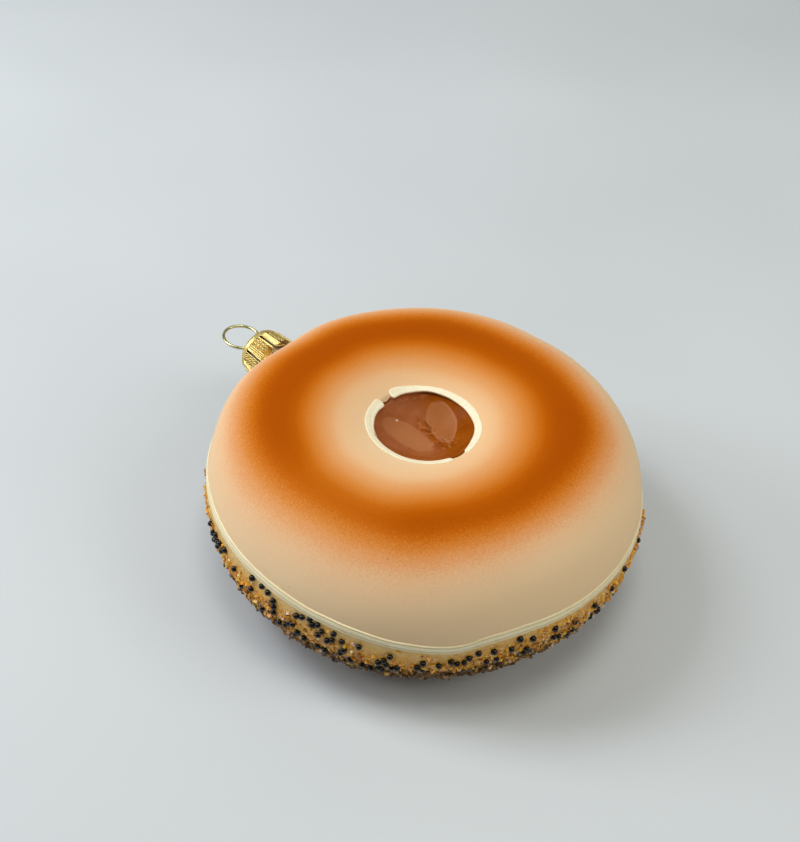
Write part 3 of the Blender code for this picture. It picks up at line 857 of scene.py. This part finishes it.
def make_seam(material):
    """The seam line: a band of enamel with three brush ridges along it, open at the neck."""
    last = NECK_ANGLE + 2 * math.pi - SEAM_GAP_AT_NECK
    angles = np.linspace(NECK_ANGLE + SEAM_GAP_AT_NECK, last, SEAM_STEPS)
    ring = around(1, angles, 0)
    to_end = np.minimum(angles - angles[0], angles[-1] - angles) * BODY_RADIUS
    tip = rounded_tip(to_end, SEAM_TIP)
    uneven = 1 + 0.12 * noise_at(ring, 0.3, 41) + 0.06 * noise_at(ring, 0.06, 42)
    half = SEAM_BAND_HEIGHT / 2 * tip * uneven
    middle = seam_height(angles) + 0.12 * MM * noise_at(ring, 0.12, 43)
    across = np.linspace(-1, 1, 37)[None, :]
    wander = 0.08 * noise_at(ring, 0.4, 44)[:, None]
    top_ridge = np.exp(-((across - 0.86 + 0.4 * wander) / 0.13) ** 2)
    broad_ridge = np.exp(-((across - 0.18 + wander) / 0.40) ** 4)
    low_ridge = 0.85 * np.exp(-((across + 0.62 + wander) / 0.17) ** 2)
    split = 0.25 * np.exp(-((across - 0.16 - 2 * wander) / 0.09) ** 2)
    ridge = np.clip(np.maximum(np.maximum(top_ridge, broad_ridge), low_ridge) - split, 0, 1)
    edge_round = np.sqrt(np.clip(1 - across ** 6, 0, 1))
    blob = noise_at(ring, 0.03, 45)[:, None]
    rise = SEAM_BAND_RISE * tip[:, None] * edge_round * (0.5 + 0.45 * ridge + 0.1 * blob)
    height = middle[:, None] + across * half[:, None]
    radius = bare_radius(height) + blown_unevenness(angles[:, None], height) + rise
    low_height = middle[:, None] + np.linspace(1, -1, 7)[None, 1:-1] * half[:, None]
    low_radius = bare_radius(low_height) - 0.4 * MM
    radius = np.concatenate([radius, low_radius], 1)
    height = np.concatenate([height, low_height], 1)
    vertices, faces = closed_sweep(around(radius, angles[:, None], height) + np.array(CENTRE))
    piece = make_piece("seam_line", vertices, faces, material)
    # Painted shade: the groove value darkens the enamel between the brush ridges; the thin lower edge is
    # darker too
    thin = smooth_step(-0.7, -1.0, across) * 0.6
    groove = np.clip(0.7 * (1 - ridge) + thin, 0, 1) * np.ones_like(rise)
    add_values(piece, "groove", np.concatenate([groove, 0 * low_height], 1))


# ---------------------------------------------------------------- coat of glue, grit and beads

def coat_surface(angles):
    """The coat's outer surface: rows from its edge at the seam line to the middle of the underside."""
    edge = seam_height(angles) - 0.6 * MM
    side = np.linspace(0, COAT_SIDE_SHARE, COAT_SIDE_ROWS, endpoint=False)[:, None]
    height = edge - (edge + LOWER_HEIGHT) * np.sin(math.pi / 2 * side)
    full = smooth_step(0, COAT_FULL_DROP, edge - height)
    thickness = COAT_EDGE_THICKNESS + (COAT_THICKNESS - COAT_EDGE_THICKNESS) * full
    downward = np.clip(-height / LOWER_HEIGHT, 0, 1)
    outward = np.sqrt(1 - downward ** 2)
    radius = bare_radius(height) + thickness * outward + blown_unevenness(angles, height)
    height = height - (thickness - GRIT_ROOM * downward) * downward
    low = BOTTOM_HEIGHT + GRIT_ROOM
    rows = [(REST_OUTER_RADIUS, low), ((REST_OUTER_RADIUS + REST_INNER_RADIUS) / 2, low)]
    for share in np.linspace(0, 1, 18, endpoint=False):
        inward = REST_INNER_RADIUS + (UNDER_DIMPLE_RADIUS - REST_INNER_RADIUS) * share
        rows.append((inward, low + DIMPLE_RIM_DROP * share ** 2))
    for share in np.linspace(1, 0.04, 16):
        hollow = DIMPLE_RIM_DROP + UNDER_DIMPLE_DEPTH * dimple_fall(share)
        rows.append((UNDER_DIMPLE_RADIUS * share, low + hollow))
    under = np.array(rows)[:, :, None] + 0 * angles
    radius = np.concatenate([radius, under[:, 0]])
    height = np.concatenate([height, under[:, 1]])
    return around(radius, angles, height) + np.array(CENTRE)


def surface_normals(points):
    """Outward unit normals of a grid of rings."""
    around = np.roll(points, -1, 1) - np.roll(points, 1, 1)
    along = np.gradient(points, axis=0)
    normal = np.cross(along, around)
    return normal / np.maximum(np.linalg.norm(normal, axis=-1, keepdims=True), 1e-12)


class Coat:
    """The coat's surface as a fine grid, on which grit and beads are placed."""

    def __init__(self):
        self.angles = full_turn(COAT_COLUMNS)
        smooth = coat_surface(self.angles)
        self.normals = surface_normals(smooth)
        self.drop = seam_height(self.angles) + CENTRE.z - smooth[..., 2]
        self.richer = 1.6 * MM * swelling(np.degrees(self.angles - facing(45)), 0, 28)
        run = np.linalg.norm(np.diff(smooth, axis=0), axis=-1)
        self.run = np.concatenate([np.zeros((1, len(self.angles))), np.cumsum(run, 0)])
        relief = 0.16 * noise_at(smooth, 2.4 * MM, 51) + 0.07 * noise_at(smooth, 0.9 * MM, 52)
        depth = smooth_step(0.5 * MM, 5 * MM, self.run)
        self.points = smooth + self.normals * (relief * (0.3 + 0.7 * depth) * MM)[..., None]

    def place(self, rows, columns):
        """Points and normals at fractional rows and columns of the grid."""
        row = np.clip(rows.astype(int), 0, self.points.shape[0] - 2)
        column = columns.astype(int) % len(self.angles)
        following = (column + 1) % len(self.angles)
        down = (rows - row)[:, None]
        side = (columns - columns.astype(int))[:, None]
        near = self.points[row, column] * (1 - side) + self.points[row, following] * side
        far = self.points[row + 1, column] * (1 - side) + self.points[row + 1, following] * side
        return near * (1 - down) + far * down, self.normals[row, column]

    def scatter(self, count, likelihood):
        """Random places spread evenly over the area, thinned by the likelihood of each grid cell."""
        run = np.gradient(self.run, axis=0)
        radius = np.hypot(self.points[..., 0] - CENTRE.x, self.points[..., 1] - CENTRE.y)
        weight = (run * radius * likelihood)[:-1].ravel()
        cells = rng.choice(len(weight), count, p=weight / weight.sum())
        rows = cells // len(self.angles) + rng.random(count)
        columns = cells % len(self.angles) + rng.random(count)
        return self.place(rows, columns)

    def at(self, angle, drop):
        """The place in one direction, at a drop below the seam line."""
        columns = np.atleast_1d(angle % (2 * math.pi)) / (2 * math.pi) * len(self.angles)
        drops = self.drop[:COAT_SIDE_ROWS, columns.astype(int)[0] % len(self.angles)]
        return self.place(np.interp(np.atleast_1d(drop), drops, np.arange(float(COAT_SIDE_ROWS))), columns)


def make_coat(coat, material):
    """The glue as a closed skin: its inner side runs inside the glass."""
    inner = (coat.points - coat.normals * COAT_SKIN)[::-COAT_INNER_STEP]
    points = np.concatenate([inner, coat.points])
    vertices, faces = closed_revolve(points)
    piece = make_piece("glue_coat", vertices, faces, material)
    look = coat.drop + coat.richer
    drop = np.concatenate([look[::-COAT_INNER_STEP], look])
    add_values(piece, "drop", np.append(drop.ravel(), [drop[0, 0], drop[-1, 0]]))


def random_turns(count):
    """Random rotation matrices, from random unit quaternions."""
    q = rng.normal(size=(count, 4))
    w, x, y, z = (q / np.linalg.norm(q, axis=1, keepdims=True)).T
    rows = [
        [1 - 2 * (y * y + z * z), 2 * (x * y - z * w), 2 * (x * z + y * w)],
        [2 * (x * y + z * w), 1 - 2 * (x * x + z * z), 2 * (y * z - x * w)],
        [2 * (x * z - y * w), 2 * (y * z + x * w), 1 - 2 * (x * x + y * y)],
    ]
    return np.array(rows).transpose(2, 0, 1)


def clear_of(places, others, gap):
    """True for each place that is further than a gap from all the others."""
    tree = kdtree.KDTree(len(others))
    for k, other in enumerate(others):
        tree.insert(other, k)
    tree.balance()
    return np.array([tree.find(place)[2] > gap for place in places])


def make_crumbs(name, places, normals, sizes, tints, material):
    """Angular crumbs of glass, each an uneven block with eight corners, half sunk in the glue."""
    count = len(places)
    corners = np.array([(x, y, z) for x in (-1, 1) for y in (-1, 1) for z in (-1, 1)], float) * 0.62
    quads = np.array([
        (0, 1, 3, 2), (4, 6, 7, 5), (0, 4, 5, 1), (2, 3, 7, 6), (0, 2, 6, 4), (1, 5, 7, 3),
    ])
    sides = np.concatenate([quads[:, :3], quads[:, [0, 2, 3]]])
    stretch = rng.uniform(0.6, 1.15, (count, 1, 3))
    jitter = rng.normal(0, 0.17, (count, 8, 3))
    local = (corners[None] + jitter) * stretch * sizes[:, None, None] / 2
    turned = np.einsum("nij,nkj->nki", random_turns(count), local)
    vertices = turned + (places + normals * (sizes * 0.1)[:, None])[:, None]
    lowest = vertices[..., 2].min(1)
    vertices[..., 2] += np.maximum(0, 0.02 * MM - lowest)[:, None]
    faces = (sides[None] + 8 * np.arange(count)[:, None, None]).reshape(-1, 3)
    piece = make_piece(name, vertices.reshape(-1, 3), faces, material, smooth=False)
    add_colours(piece, "tint", np.repeat(tints, 8, 0))


def pick_tints(shades, shares, count, spread):
    """A tint for each crumb, picked from shades by their shares and varied in brightness."""
    table = np.array([colour(*shade)[:3] for shade in shades])
    picked = table[rng.choice(len(table), count, p=np.array(shares) / sum(shares))]
    return np.clip(picked * rng.lognormal(0, spread, (count, 1)), 0, 1)


def grit_likelihood(coat):
    """Sparse and patchy just below the seam line, thick further down, and thinner underneath."""
    patchy = noise_at(coat.points, 3.2 * MM, 61)
    cover = smooth_step(1.8 * MM, 5.5 * MM, coat.drop + 1.6 * MM * patchy + coat.richer)
    sparse = 0.06 * smooth_step(1.3 * MM, 1.8 * MM, coat.drop)
    underneath = smooth_step(15 * MM, 19 * MM, coat.drop)
    return (cover + sparse) * (1 - 0.5 * underneath)


def shade_down(tints, places):
    """Painted shade: darken the tints lower on the side, most of all for a random share of the crumbs, and
    less underneath.
    """
    level = CENTRE.z - places[:, 2]
    turned_under = smooth_step(11.5 * MM, 15.5 * MM, level)
    # Painted shade on the crumbs, strongest for a random share of them
    deep_shade = rng.random(len(places)) < 0.75 * smooth_step(5 * MM, 9 * MM, level) * (1 - 0.5 * turned_under)
    others = 0.5 * smooth_step(5 * MM, 12.5 * MM, level) * (1 - 0.5 * turned_under)
    depth = np.where(deep_shade, 0.93, others)[:, None]
    return tints * (1 - depth) + np.array(colour(56, 24, 4)[:3]) * depth


def make_grit(coat, bead_places, amber, pale):
    """Fine amber grit, coarser amber crumbs and pale chips, all clear of the beads."""
    places, normals = coat.scatter(GRIT_COUNT, grit_likelihood(coat))
    sizes = np.clip(rng.lognormal(math.log(0.58), 0.34, len(places)), 0.3, 1.2) * MM
    keep = clear_of(places, bead_places, 0.75 * BEAD_RADIUS + 0.2 * MM)
    places, normals, sizes = places[keep], normals[keep], sizes[keep]
    tints = pick_tints(
        [(232, 166, 42), (240, 188, 72), (214, 140, 18), (150, 84, 10), (236, 176, 104), (250, 222, 154)],
        [34, 26, 18, 8, 5, 7], len(places), 0.14,
    )
    make_crumbs("amber_grit", places, normals, sizes, shade_down(tints, places), amber)

    places, normals = coat.scatter(CRUMB_COUNT, smooth_step(6 * MM, 12 * MM, coat.drop))
    extra = [(82, 1.8, 3, 1.0)] * 14 + [(-84, 3.5, 3, 1.2)] * 8
    for direction, fall, turn, spread in extra:
        angle = facing(direction + rng.uniform(-turn, turn))
        place, normal = coat.at(angle, (fall + rng.uniform(-spread, spread)) * MM)
        places = np.concatenate([places, place + normal * 0.5 * MM])
        normals = np.concatenate([normals, normal])
    sizes = np.clip(rng.lognormal(math.log(1.1), 0.25, len(places)), 0.7, 1.8) * MM
    sizes[-len(extra):] = rng.uniform(0.7, 1.1, len(extra)) * MM
    tints = pick_tints(
        [(240, 176, 56), (220, 144, 32), (244, 204, 154), (140, 74, 14), (236, 176, 132)],
        [9, 8, 6, 5, 6], len(places), 0.2,
    )
    keep = clear_of(places, bead_places, BEAD_RADIUS + 0.3 * MM)
    tints = shade_down(tints, places)
    make_crumbs("amber_crumbs", places[keep], normals[keep], sizes[keep], tints[keep], amber)

    places, normals = coat.scatter(PALE_COUNT, smooth_step(1.6 * MM, 3.2 * MM, coat.drop))
    keep = clear_of(places, bead_places, BEAD_RADIUS + 0.5 * MM)
    places, normals = places[keep], normals[keep]
    sizes = rng.uniform(0.7, 1.4, len(places)) * MM
    tints = pick_tints([(240, 226, 208), (236, 200, 180), (228, 184, 150)], [4, 4, 3], len(places), 0.08)
    make_crumbs("pale_chips", places, normals, sizes, tints, pale)


def bead_targets():
    """The bead groups near the front, and random ones round the rest of the side."""
    groups = list(BEAD_GROUPS)
    left = BEAD_COUNT_AROUND
    while left > 0:
        count = int(min(left, 1 + rng.geometric(0.42)))
        spread = 0.3 + 0.55 * count ** 0.7
        direction = rng.uniform(74, 293)
        highest = 2.0 + 5.0 * smooth_step(115, 84, direction) + 4.0 * smooth_step(250, 285, direction)
        groups.append((direction, rng.uniform(highest, 11.5), spread, 0.7 * spread, count))
        left -= count
    return groups


def place_beads(coat):
    """Bead middles, no two closer than their own width."""
    placed = []

    def settle(place, normal):
        middle = place + normal * BEAD_RADIUS * rng.uniform(0.2, 0.5)
        middle[2] = max(middle[2], 1.12 * BEAD_RADIUS)
        if all(np.linalg.norm(middle - other) > 1.85 * BEAD_RADIUS for other in placed):
            placed.append(middle)
            return True
        return False

    for direction, drop, spread, drop_spread, count in bead_targets():
        for _ in range(count):
            for attempt in range(12):
                widen = 1 + 0.12 * attempt
                angle = facing(direction + rng.uniform(-1, 1) * spread * widen)
                fall = (drop + rng.uniform(-1, 1) * drop_spread * widen) * MM
                place, normal = coat.at(angle, max(fall, 1.4 * MM))
                if settle(place[0], normal[0]):
                    break
    for place, normal in zip(*coat.scatter(BEAD_COUNT_UNDER, smooth_step(12 * MM, 16 * MM, coat.drop))):
        settle(place, normal)
    return np.array(placed)


def make_beads(places, material):
    """Round beads as one joined mesh, each slightly out of round."""
    bm = bmesh.new()
    bmesh.ops.create_icosphere(bm, subdivisions=3, radius=1.0)
    ball = np.array([vertex.co[:] for vertex in bm.verts])
    sides = np.array([[vertex.index for vertex in face.verts] for face in bm.faces])
    bm.free()
    sizes = BEAD_RADIUS * rng.uniform(0.88, 1.06, (len(places), 1, 1))
    shape = rng.uniform(0.93, 1.04, (len(places), 1, 3))
    vertices = places[:, None] + ball[None] * sizes * shape
    faces = (sides[None] + len(ball) * np.arange(len(places))[:, None, None]).reshape(-1, 3)
    make_piece("black_beads", vertices.reshape(-1, 3), faces, material)


# ---------------------------------------------------------------- cap and wire

def cap_radius(depth):
    return CAP_TOP_RADIUS + (CAP_SKIRT_RADIUS - CAP_TOP_RADIUS) * (depth / CAP_LENGTH) ** CAP_FLARE


def petal_half_angle(depth):
    """Half the angle that a petal takes up, at a depth below the cap's top."""
    radius = cap_radius(depth)
    whole = math.pi / PETAL_COUNT - PETAL_SLIT_WIDTH / 2 / radius
    tip = PETAL_TIP_SHARE * radius * math.sin(whole)
    over = max(0.0, depth - (CAP_LENGTH - tip)) / tip
    return whole * math.sqrt(max(0.0, 1 - over ** PETAL_TIP_ROUNDNESS))


def stamped_relief(across, depth, half_width):
    """Height of the pattern stamped in a petal: a rim, ribs along one side, and rosettes of small dots."""
    side = half_width - np.abs(across)
    rim = 1 - smooth_step(0.14 * MM, 0.32 * MM, side)
    in_length = smooth_step(0.4 * MM, 0.9 * MM, depth) * (1 - smooth_step(6.9 * MM, 7.5 * MM, depth))
    ribs = np.zeros_like(across)
    for offset in RIB_OFFSETS:
        ribs = np.maximum(ribs, 1 - smooth_step(0.07 * MM, 0.19 * MM, np.abs(across - offset)))
    rosettes = np.zeros_like(across)
    for side_place, depth_place in ROSETTE_PLACES:
        right, down = across - side_place * MM, depth - depth_place * MM
        for k in range(7):
            turn = k * math.pi / 3
            reach = ROSETTE_RADIUS if k < 6 else 0.0
            away = np.hypot(right - reach * math.cos(turn), down - reach * math.sin(turn))
            rosettes = np.maximum(rosettes, 1 - smooth_step(0.08 * MM, 0.25 * MM, away))
    return np.maximum(np.maximum(0.9 * rim, ribs * in_length), rosettes * in_length)


def make_cap(material):
    """The stamped cap: a round top, a plain band and a skirt of separate petals."""
    step = 2 * math.pi / PETAL_COUNT
    band = CAP_LENGTH - PETAL_SLIT_LENGTH
    rows, reliefs = [], []
    unit = np.linspace(-1, 1, PETAL_COLUMNS)

    def add_row(radius, depth, half, on_skirt):
        angles = (np.arange(PETAL_COUNT) * step)[:, None] + half * unit[None, :] + PETAL_TURN
        across = half * unit * radius
        relief = stamped_relief(across, depth, half * radius) if on_skirt else 0 * across
        row = around(radius + STAMP_HEIGHT * relief, angles, CAP_TOP - depth)
        rows.append(row.reshape(-1, 3))
        reliefs.append(np.tile(relief if on_skirt else np.full_like(across, 0.7), PETAL_COUNT))

    half_band = math.pi / PETAL_COUNT - PETAL_SLIT_WIDTH / 2 / cap_radius(band)
    for share in np.linspace(0.08, 0.86, 12):
        dish = 0.12 * MM * (1 - smooth_step(0.70, 0.80, share))
        add_row(CAP_TOP_RADIUS * share, dish, half_band, False)
    for turn in np.linspace(0, math.pi / 2, 6):
        inset = CAP_EDGE_ROUNDING * (1 - math.sin(turn))
        add_row(CAP_TOP_RADIUS - inset, CAP_EDGE_ROUNDING * (1 - math.cos(turn)), half_band, False)
    for depth in np.linspace(CAP_EDGE_ROUNDING, band, 8)[1:]:
        add_row(cap_radius(depth), depth, half_band, False)
    closed_rows = len(rows)
    for share in np.linspace(0, 1, SKIRT_ROWS)[1:]:
        depth = band + PETAL_SLIT_LENGTH * math.sin(math.pi / 2 * share ** 0.9)
        add_row(cap_radius(depth), depth, petal_half_angle(min(depth, CAP_LENGTH - 0.05 * MM)), True)

    outer = np.stack(rows)
    level, count, _ = outer.shape
    inward = outer * np.array([1, 1, 0])
    inward = -inward / np.maximum(np.linalg.norm(inward, axis=-1, keepdims=True), 1e-9)
    topward = smooth_step(CAP_EDGE_ROUNDING * 1.5, 0, CAP_TOP - outer[..., 2])[..., None]
    inner = outer + CAP_THICKNESS * (inward * (1 - topward) + np.array([0, 0, -1]) * topward)
    faces = []
    for row in range(level - 1):
        for k in range(count):
            last = k % PETAL_COLUMNS == PETAL_COLUMNS - 1
            if last and row >= closed_rows - 1:
                continue
            following = (k + 1) % count
            here, below = row * count, (row + 1) * count
            faces.append([here + k, below + k, below + following, here + following])
    shift = level * count
    edges = {}
    for face in faces:
        for a, b in zip(face, face[1:] + face[:1]):
            edges[(a, b)] = edges.get((a, b), 0) + 1
    rims = [(a, b) for a, b in edges if (b, a) not in edges and a >= count]
    inside = [[v + shift for v in reversed(face)] for face in faces]
    walls = [[b, a, a + shift, b + shift] for a, b in rims]
    hub = 2 * shift
    fans = []
    for k in range(count):
        following = (k + 1) % count
        fans.append([hub, k, following])
        fans.append([hub + 1, following + shift, k + shift])
    hubs = np.array([outer[0].mean(0), inner[0].mean(0)])
    vertices = moved(np.concatenate([outer.reshape(-1, 3), inner.reshape(-1, 3), hubs]), AXIS_PLACE)
    piece = make_piece("stamped_cap", vertices, faces + inside + walls + fans, material)
    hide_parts("cap")
    # Painted shade: darker in the stamp's hollows and fully dark on the cap's inside
    relief = np.concatenate(reliefs)
    hollow = np.clip(1 - relief, 0, 1)
    add_values(piece, "hollow", np.concatenate([hollow, np.ones(len(relief)), [0.2, 1.0]]))


def soften(points):
    """Cut the corners of a run of points, which keeps its two ends."""
    softened = [points[0]]
    for (u, v), (p, q) in zip(points, points[1:]):
        softened.append((0.75 * u + 0.25 * p, 0.75 * v + 0.25 * q))
        softened.append((0.25 * u + 0.75 * p, 0.25 * v + 0.75 * q))
    softened.append(points[-1])
    return softened


def wire_route():
    """Points along the wire in its own plane, from one leg's end round the loop to the other."""
    half = LEG_SPACING / 2
    leave = math.acos((LOOP_CENTRE_RISE - LOOP_LEAVE_RISE) / LOOP_HALF_LENGTH)
    leg = soften(soften([
        (-half, -LEG_DEPTH),
        (-half, -LEG_DEPTH / 2),
        (-half, 0.0),
        (-half, LOOP_LEAVE_RISE / 2),
        (-LOOP_HALF_WIDTH * math.sin(leave), LOOP_LEAVE_RISE),
    ]))
    arc = []
    for k in range(1, LOOP_STEPS):
        turn = leave + (2 * math.pi - 2 * leave) * k / LOOP_STEPS
        along = LOOP_CENTRE_RISE - LOOP_HALF_LENGTH * math.cos(turn)
        arc.append((-LOOP_HALF_WIDTH * math.sin(turn), along))
    route = leg + arc + [(-across, along) for across, along in reversed(leg)]
    return [(across + LOOP_SIDE_SHIFT, along) for across, along in route]


def make_wire(material):
    """The wire as a round bar along its route, which stands on the cap's top."""
    route = np.array([(across, 0.0, along) for across, along in wire_route()])
    direction = np.gradient(route, axis=0)
    direction /= np.linalg.norm(direction, axis=1, keepdims=True)
    flat = np.array([0.0, 1.0, 0.0])
    side = np.cross(direction, flat)
    angles = full_turn(WIRE_SIDES)
    section = side[:, None] * np.cos(angles)[None, :, None] + flat * np.sin(angles)[None, :, None]
    points = route[:, None] + WIRE_RADIUS * section
    stand = AXIS_PLACE @ Matrix.Translation((0, 0, CAP_TOP)) @ Matrix.Rotation(LOOP_TURN, 4, "Z")
    vertices, faces = closed_sweep(moved(points, stand))
    piece = make_piece("wire_loop", vertices, faces, material)
    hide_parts("hanger")


# ---------------------------------------------------------------- floor, light and camera

def floor_paint():
    paint = Paint("pale_floor", Specular_IOR_Level=0.2)
    cloud = paint.grain(160 * MM)
    base = paint.ramp(cloud, [(0.3, (203, 210, 216)), (0.7, (211, 218, 224))])
    return paint.finish(base, paint.span(cloud, 0.0, 1.0, 0.7, 0.85))


def make_floor():
    corners = [(x * FLOOR_REACH, y * FLOOR_REACH, 0) for x, y in ((-1, -1), (1, -1), (1, 1), (-1, 1))]
    mesh = bpy.data.meshes.new("floor")
    mesh.from_pydata(corners, [], [(0, 1, 2, 3)])
    mesh.materials.append(floor_paint())
    floor = new_object("floor", mesh)


def sky_place(direction, elevation, distance):
    """A place round the body, from the direction it is seen in and its height above the horizon."""
    angle = facing(direction)
    level = math.cos(math.radians(elevation))
    way = Vector((level * math.cos(angle), level * math.sin(angle), math.sin(math.radians(elevation))))
    return CENTRE + way * distance


def make_light(name, direction, elevation, distance, size, power, shade):
    data = bpy.data.lights.new(name, "AREA")
    data.shape = "RECTANGLE"
    data.size, data.size_y = size
    data.energy = power
    data.color = shade
    light = new_object(name, data)
    light.location = sky_place(direction, elevation, distance)
    light.rotation_euler = (CENTRE - light.location).to_track_quat("-Z", "Y").to_euler()


def make_world():
    world = bpy.data.worlds.new("studio")
    world.use_nodes = True
    background = world.node_tree.nodes["Background"]
    background.inputs["Color"].default_value = SKY_COLOUR
    background.inputs["Strength"].default_value = SKY_STRENGTH
    bpy.context.scene.world = world
    bpy.context.scene.view_settings.view_transform = "Standard"


def make_camera():
    data = bpy.data.cameras.new("camera")
    data.lens = CAMERA_LENS
    camera = new_object("camera", data)
    place = sky_place(0, math.degrees(CAMERA_ELEVATION), CAMERA_DISTANCE)
    look = (CENTRE - place).to_track_quat("-Z", "Y").to_matrix().to_4x4()
    tilt = Matrix.Rotation(CAMERA_TILT, 4, "X")
    pan = Matrix.Rotation(CAMERA_PAN, 4, "Y")
    roll = Matrix.Rotation(CAMERA_ROLL, 4, "Z")
    camera.matrix_world = Matrix.Translation(place) @ look @ tilt @ pan @ roll
    bpy.context.scene.camera = camera


glass_finish = airbrushed_paint()
make_glass(glass_finish)
make_neck(glass_finish)
make_lacquer(lacquer_paint())
make_strokes(cream_paint("stroke_enamel", (248, 238, 204), (254, 248, 222), (214, 196, 150)))
make_seam(cream_paint("seam_enamel", (250, 236, 192), (254, 244, 210), (200, 176, 126)))
coat = Coat()
make_coat(coat, glue_paint())
bead_places = place_beads(coat)
make_beads(bead_places, bead_paint())
make_grit(coat, bead_places, grain_paint("amber_glass", 0.12, 0.3), grain_paint("pale_glass", 0.1, 0.25))
make_cap(gold_paint())
make_wire(wire_paint())

make_floor()
for light in LIGHTS:
    make_light(*light)
make_world()
make_camera()
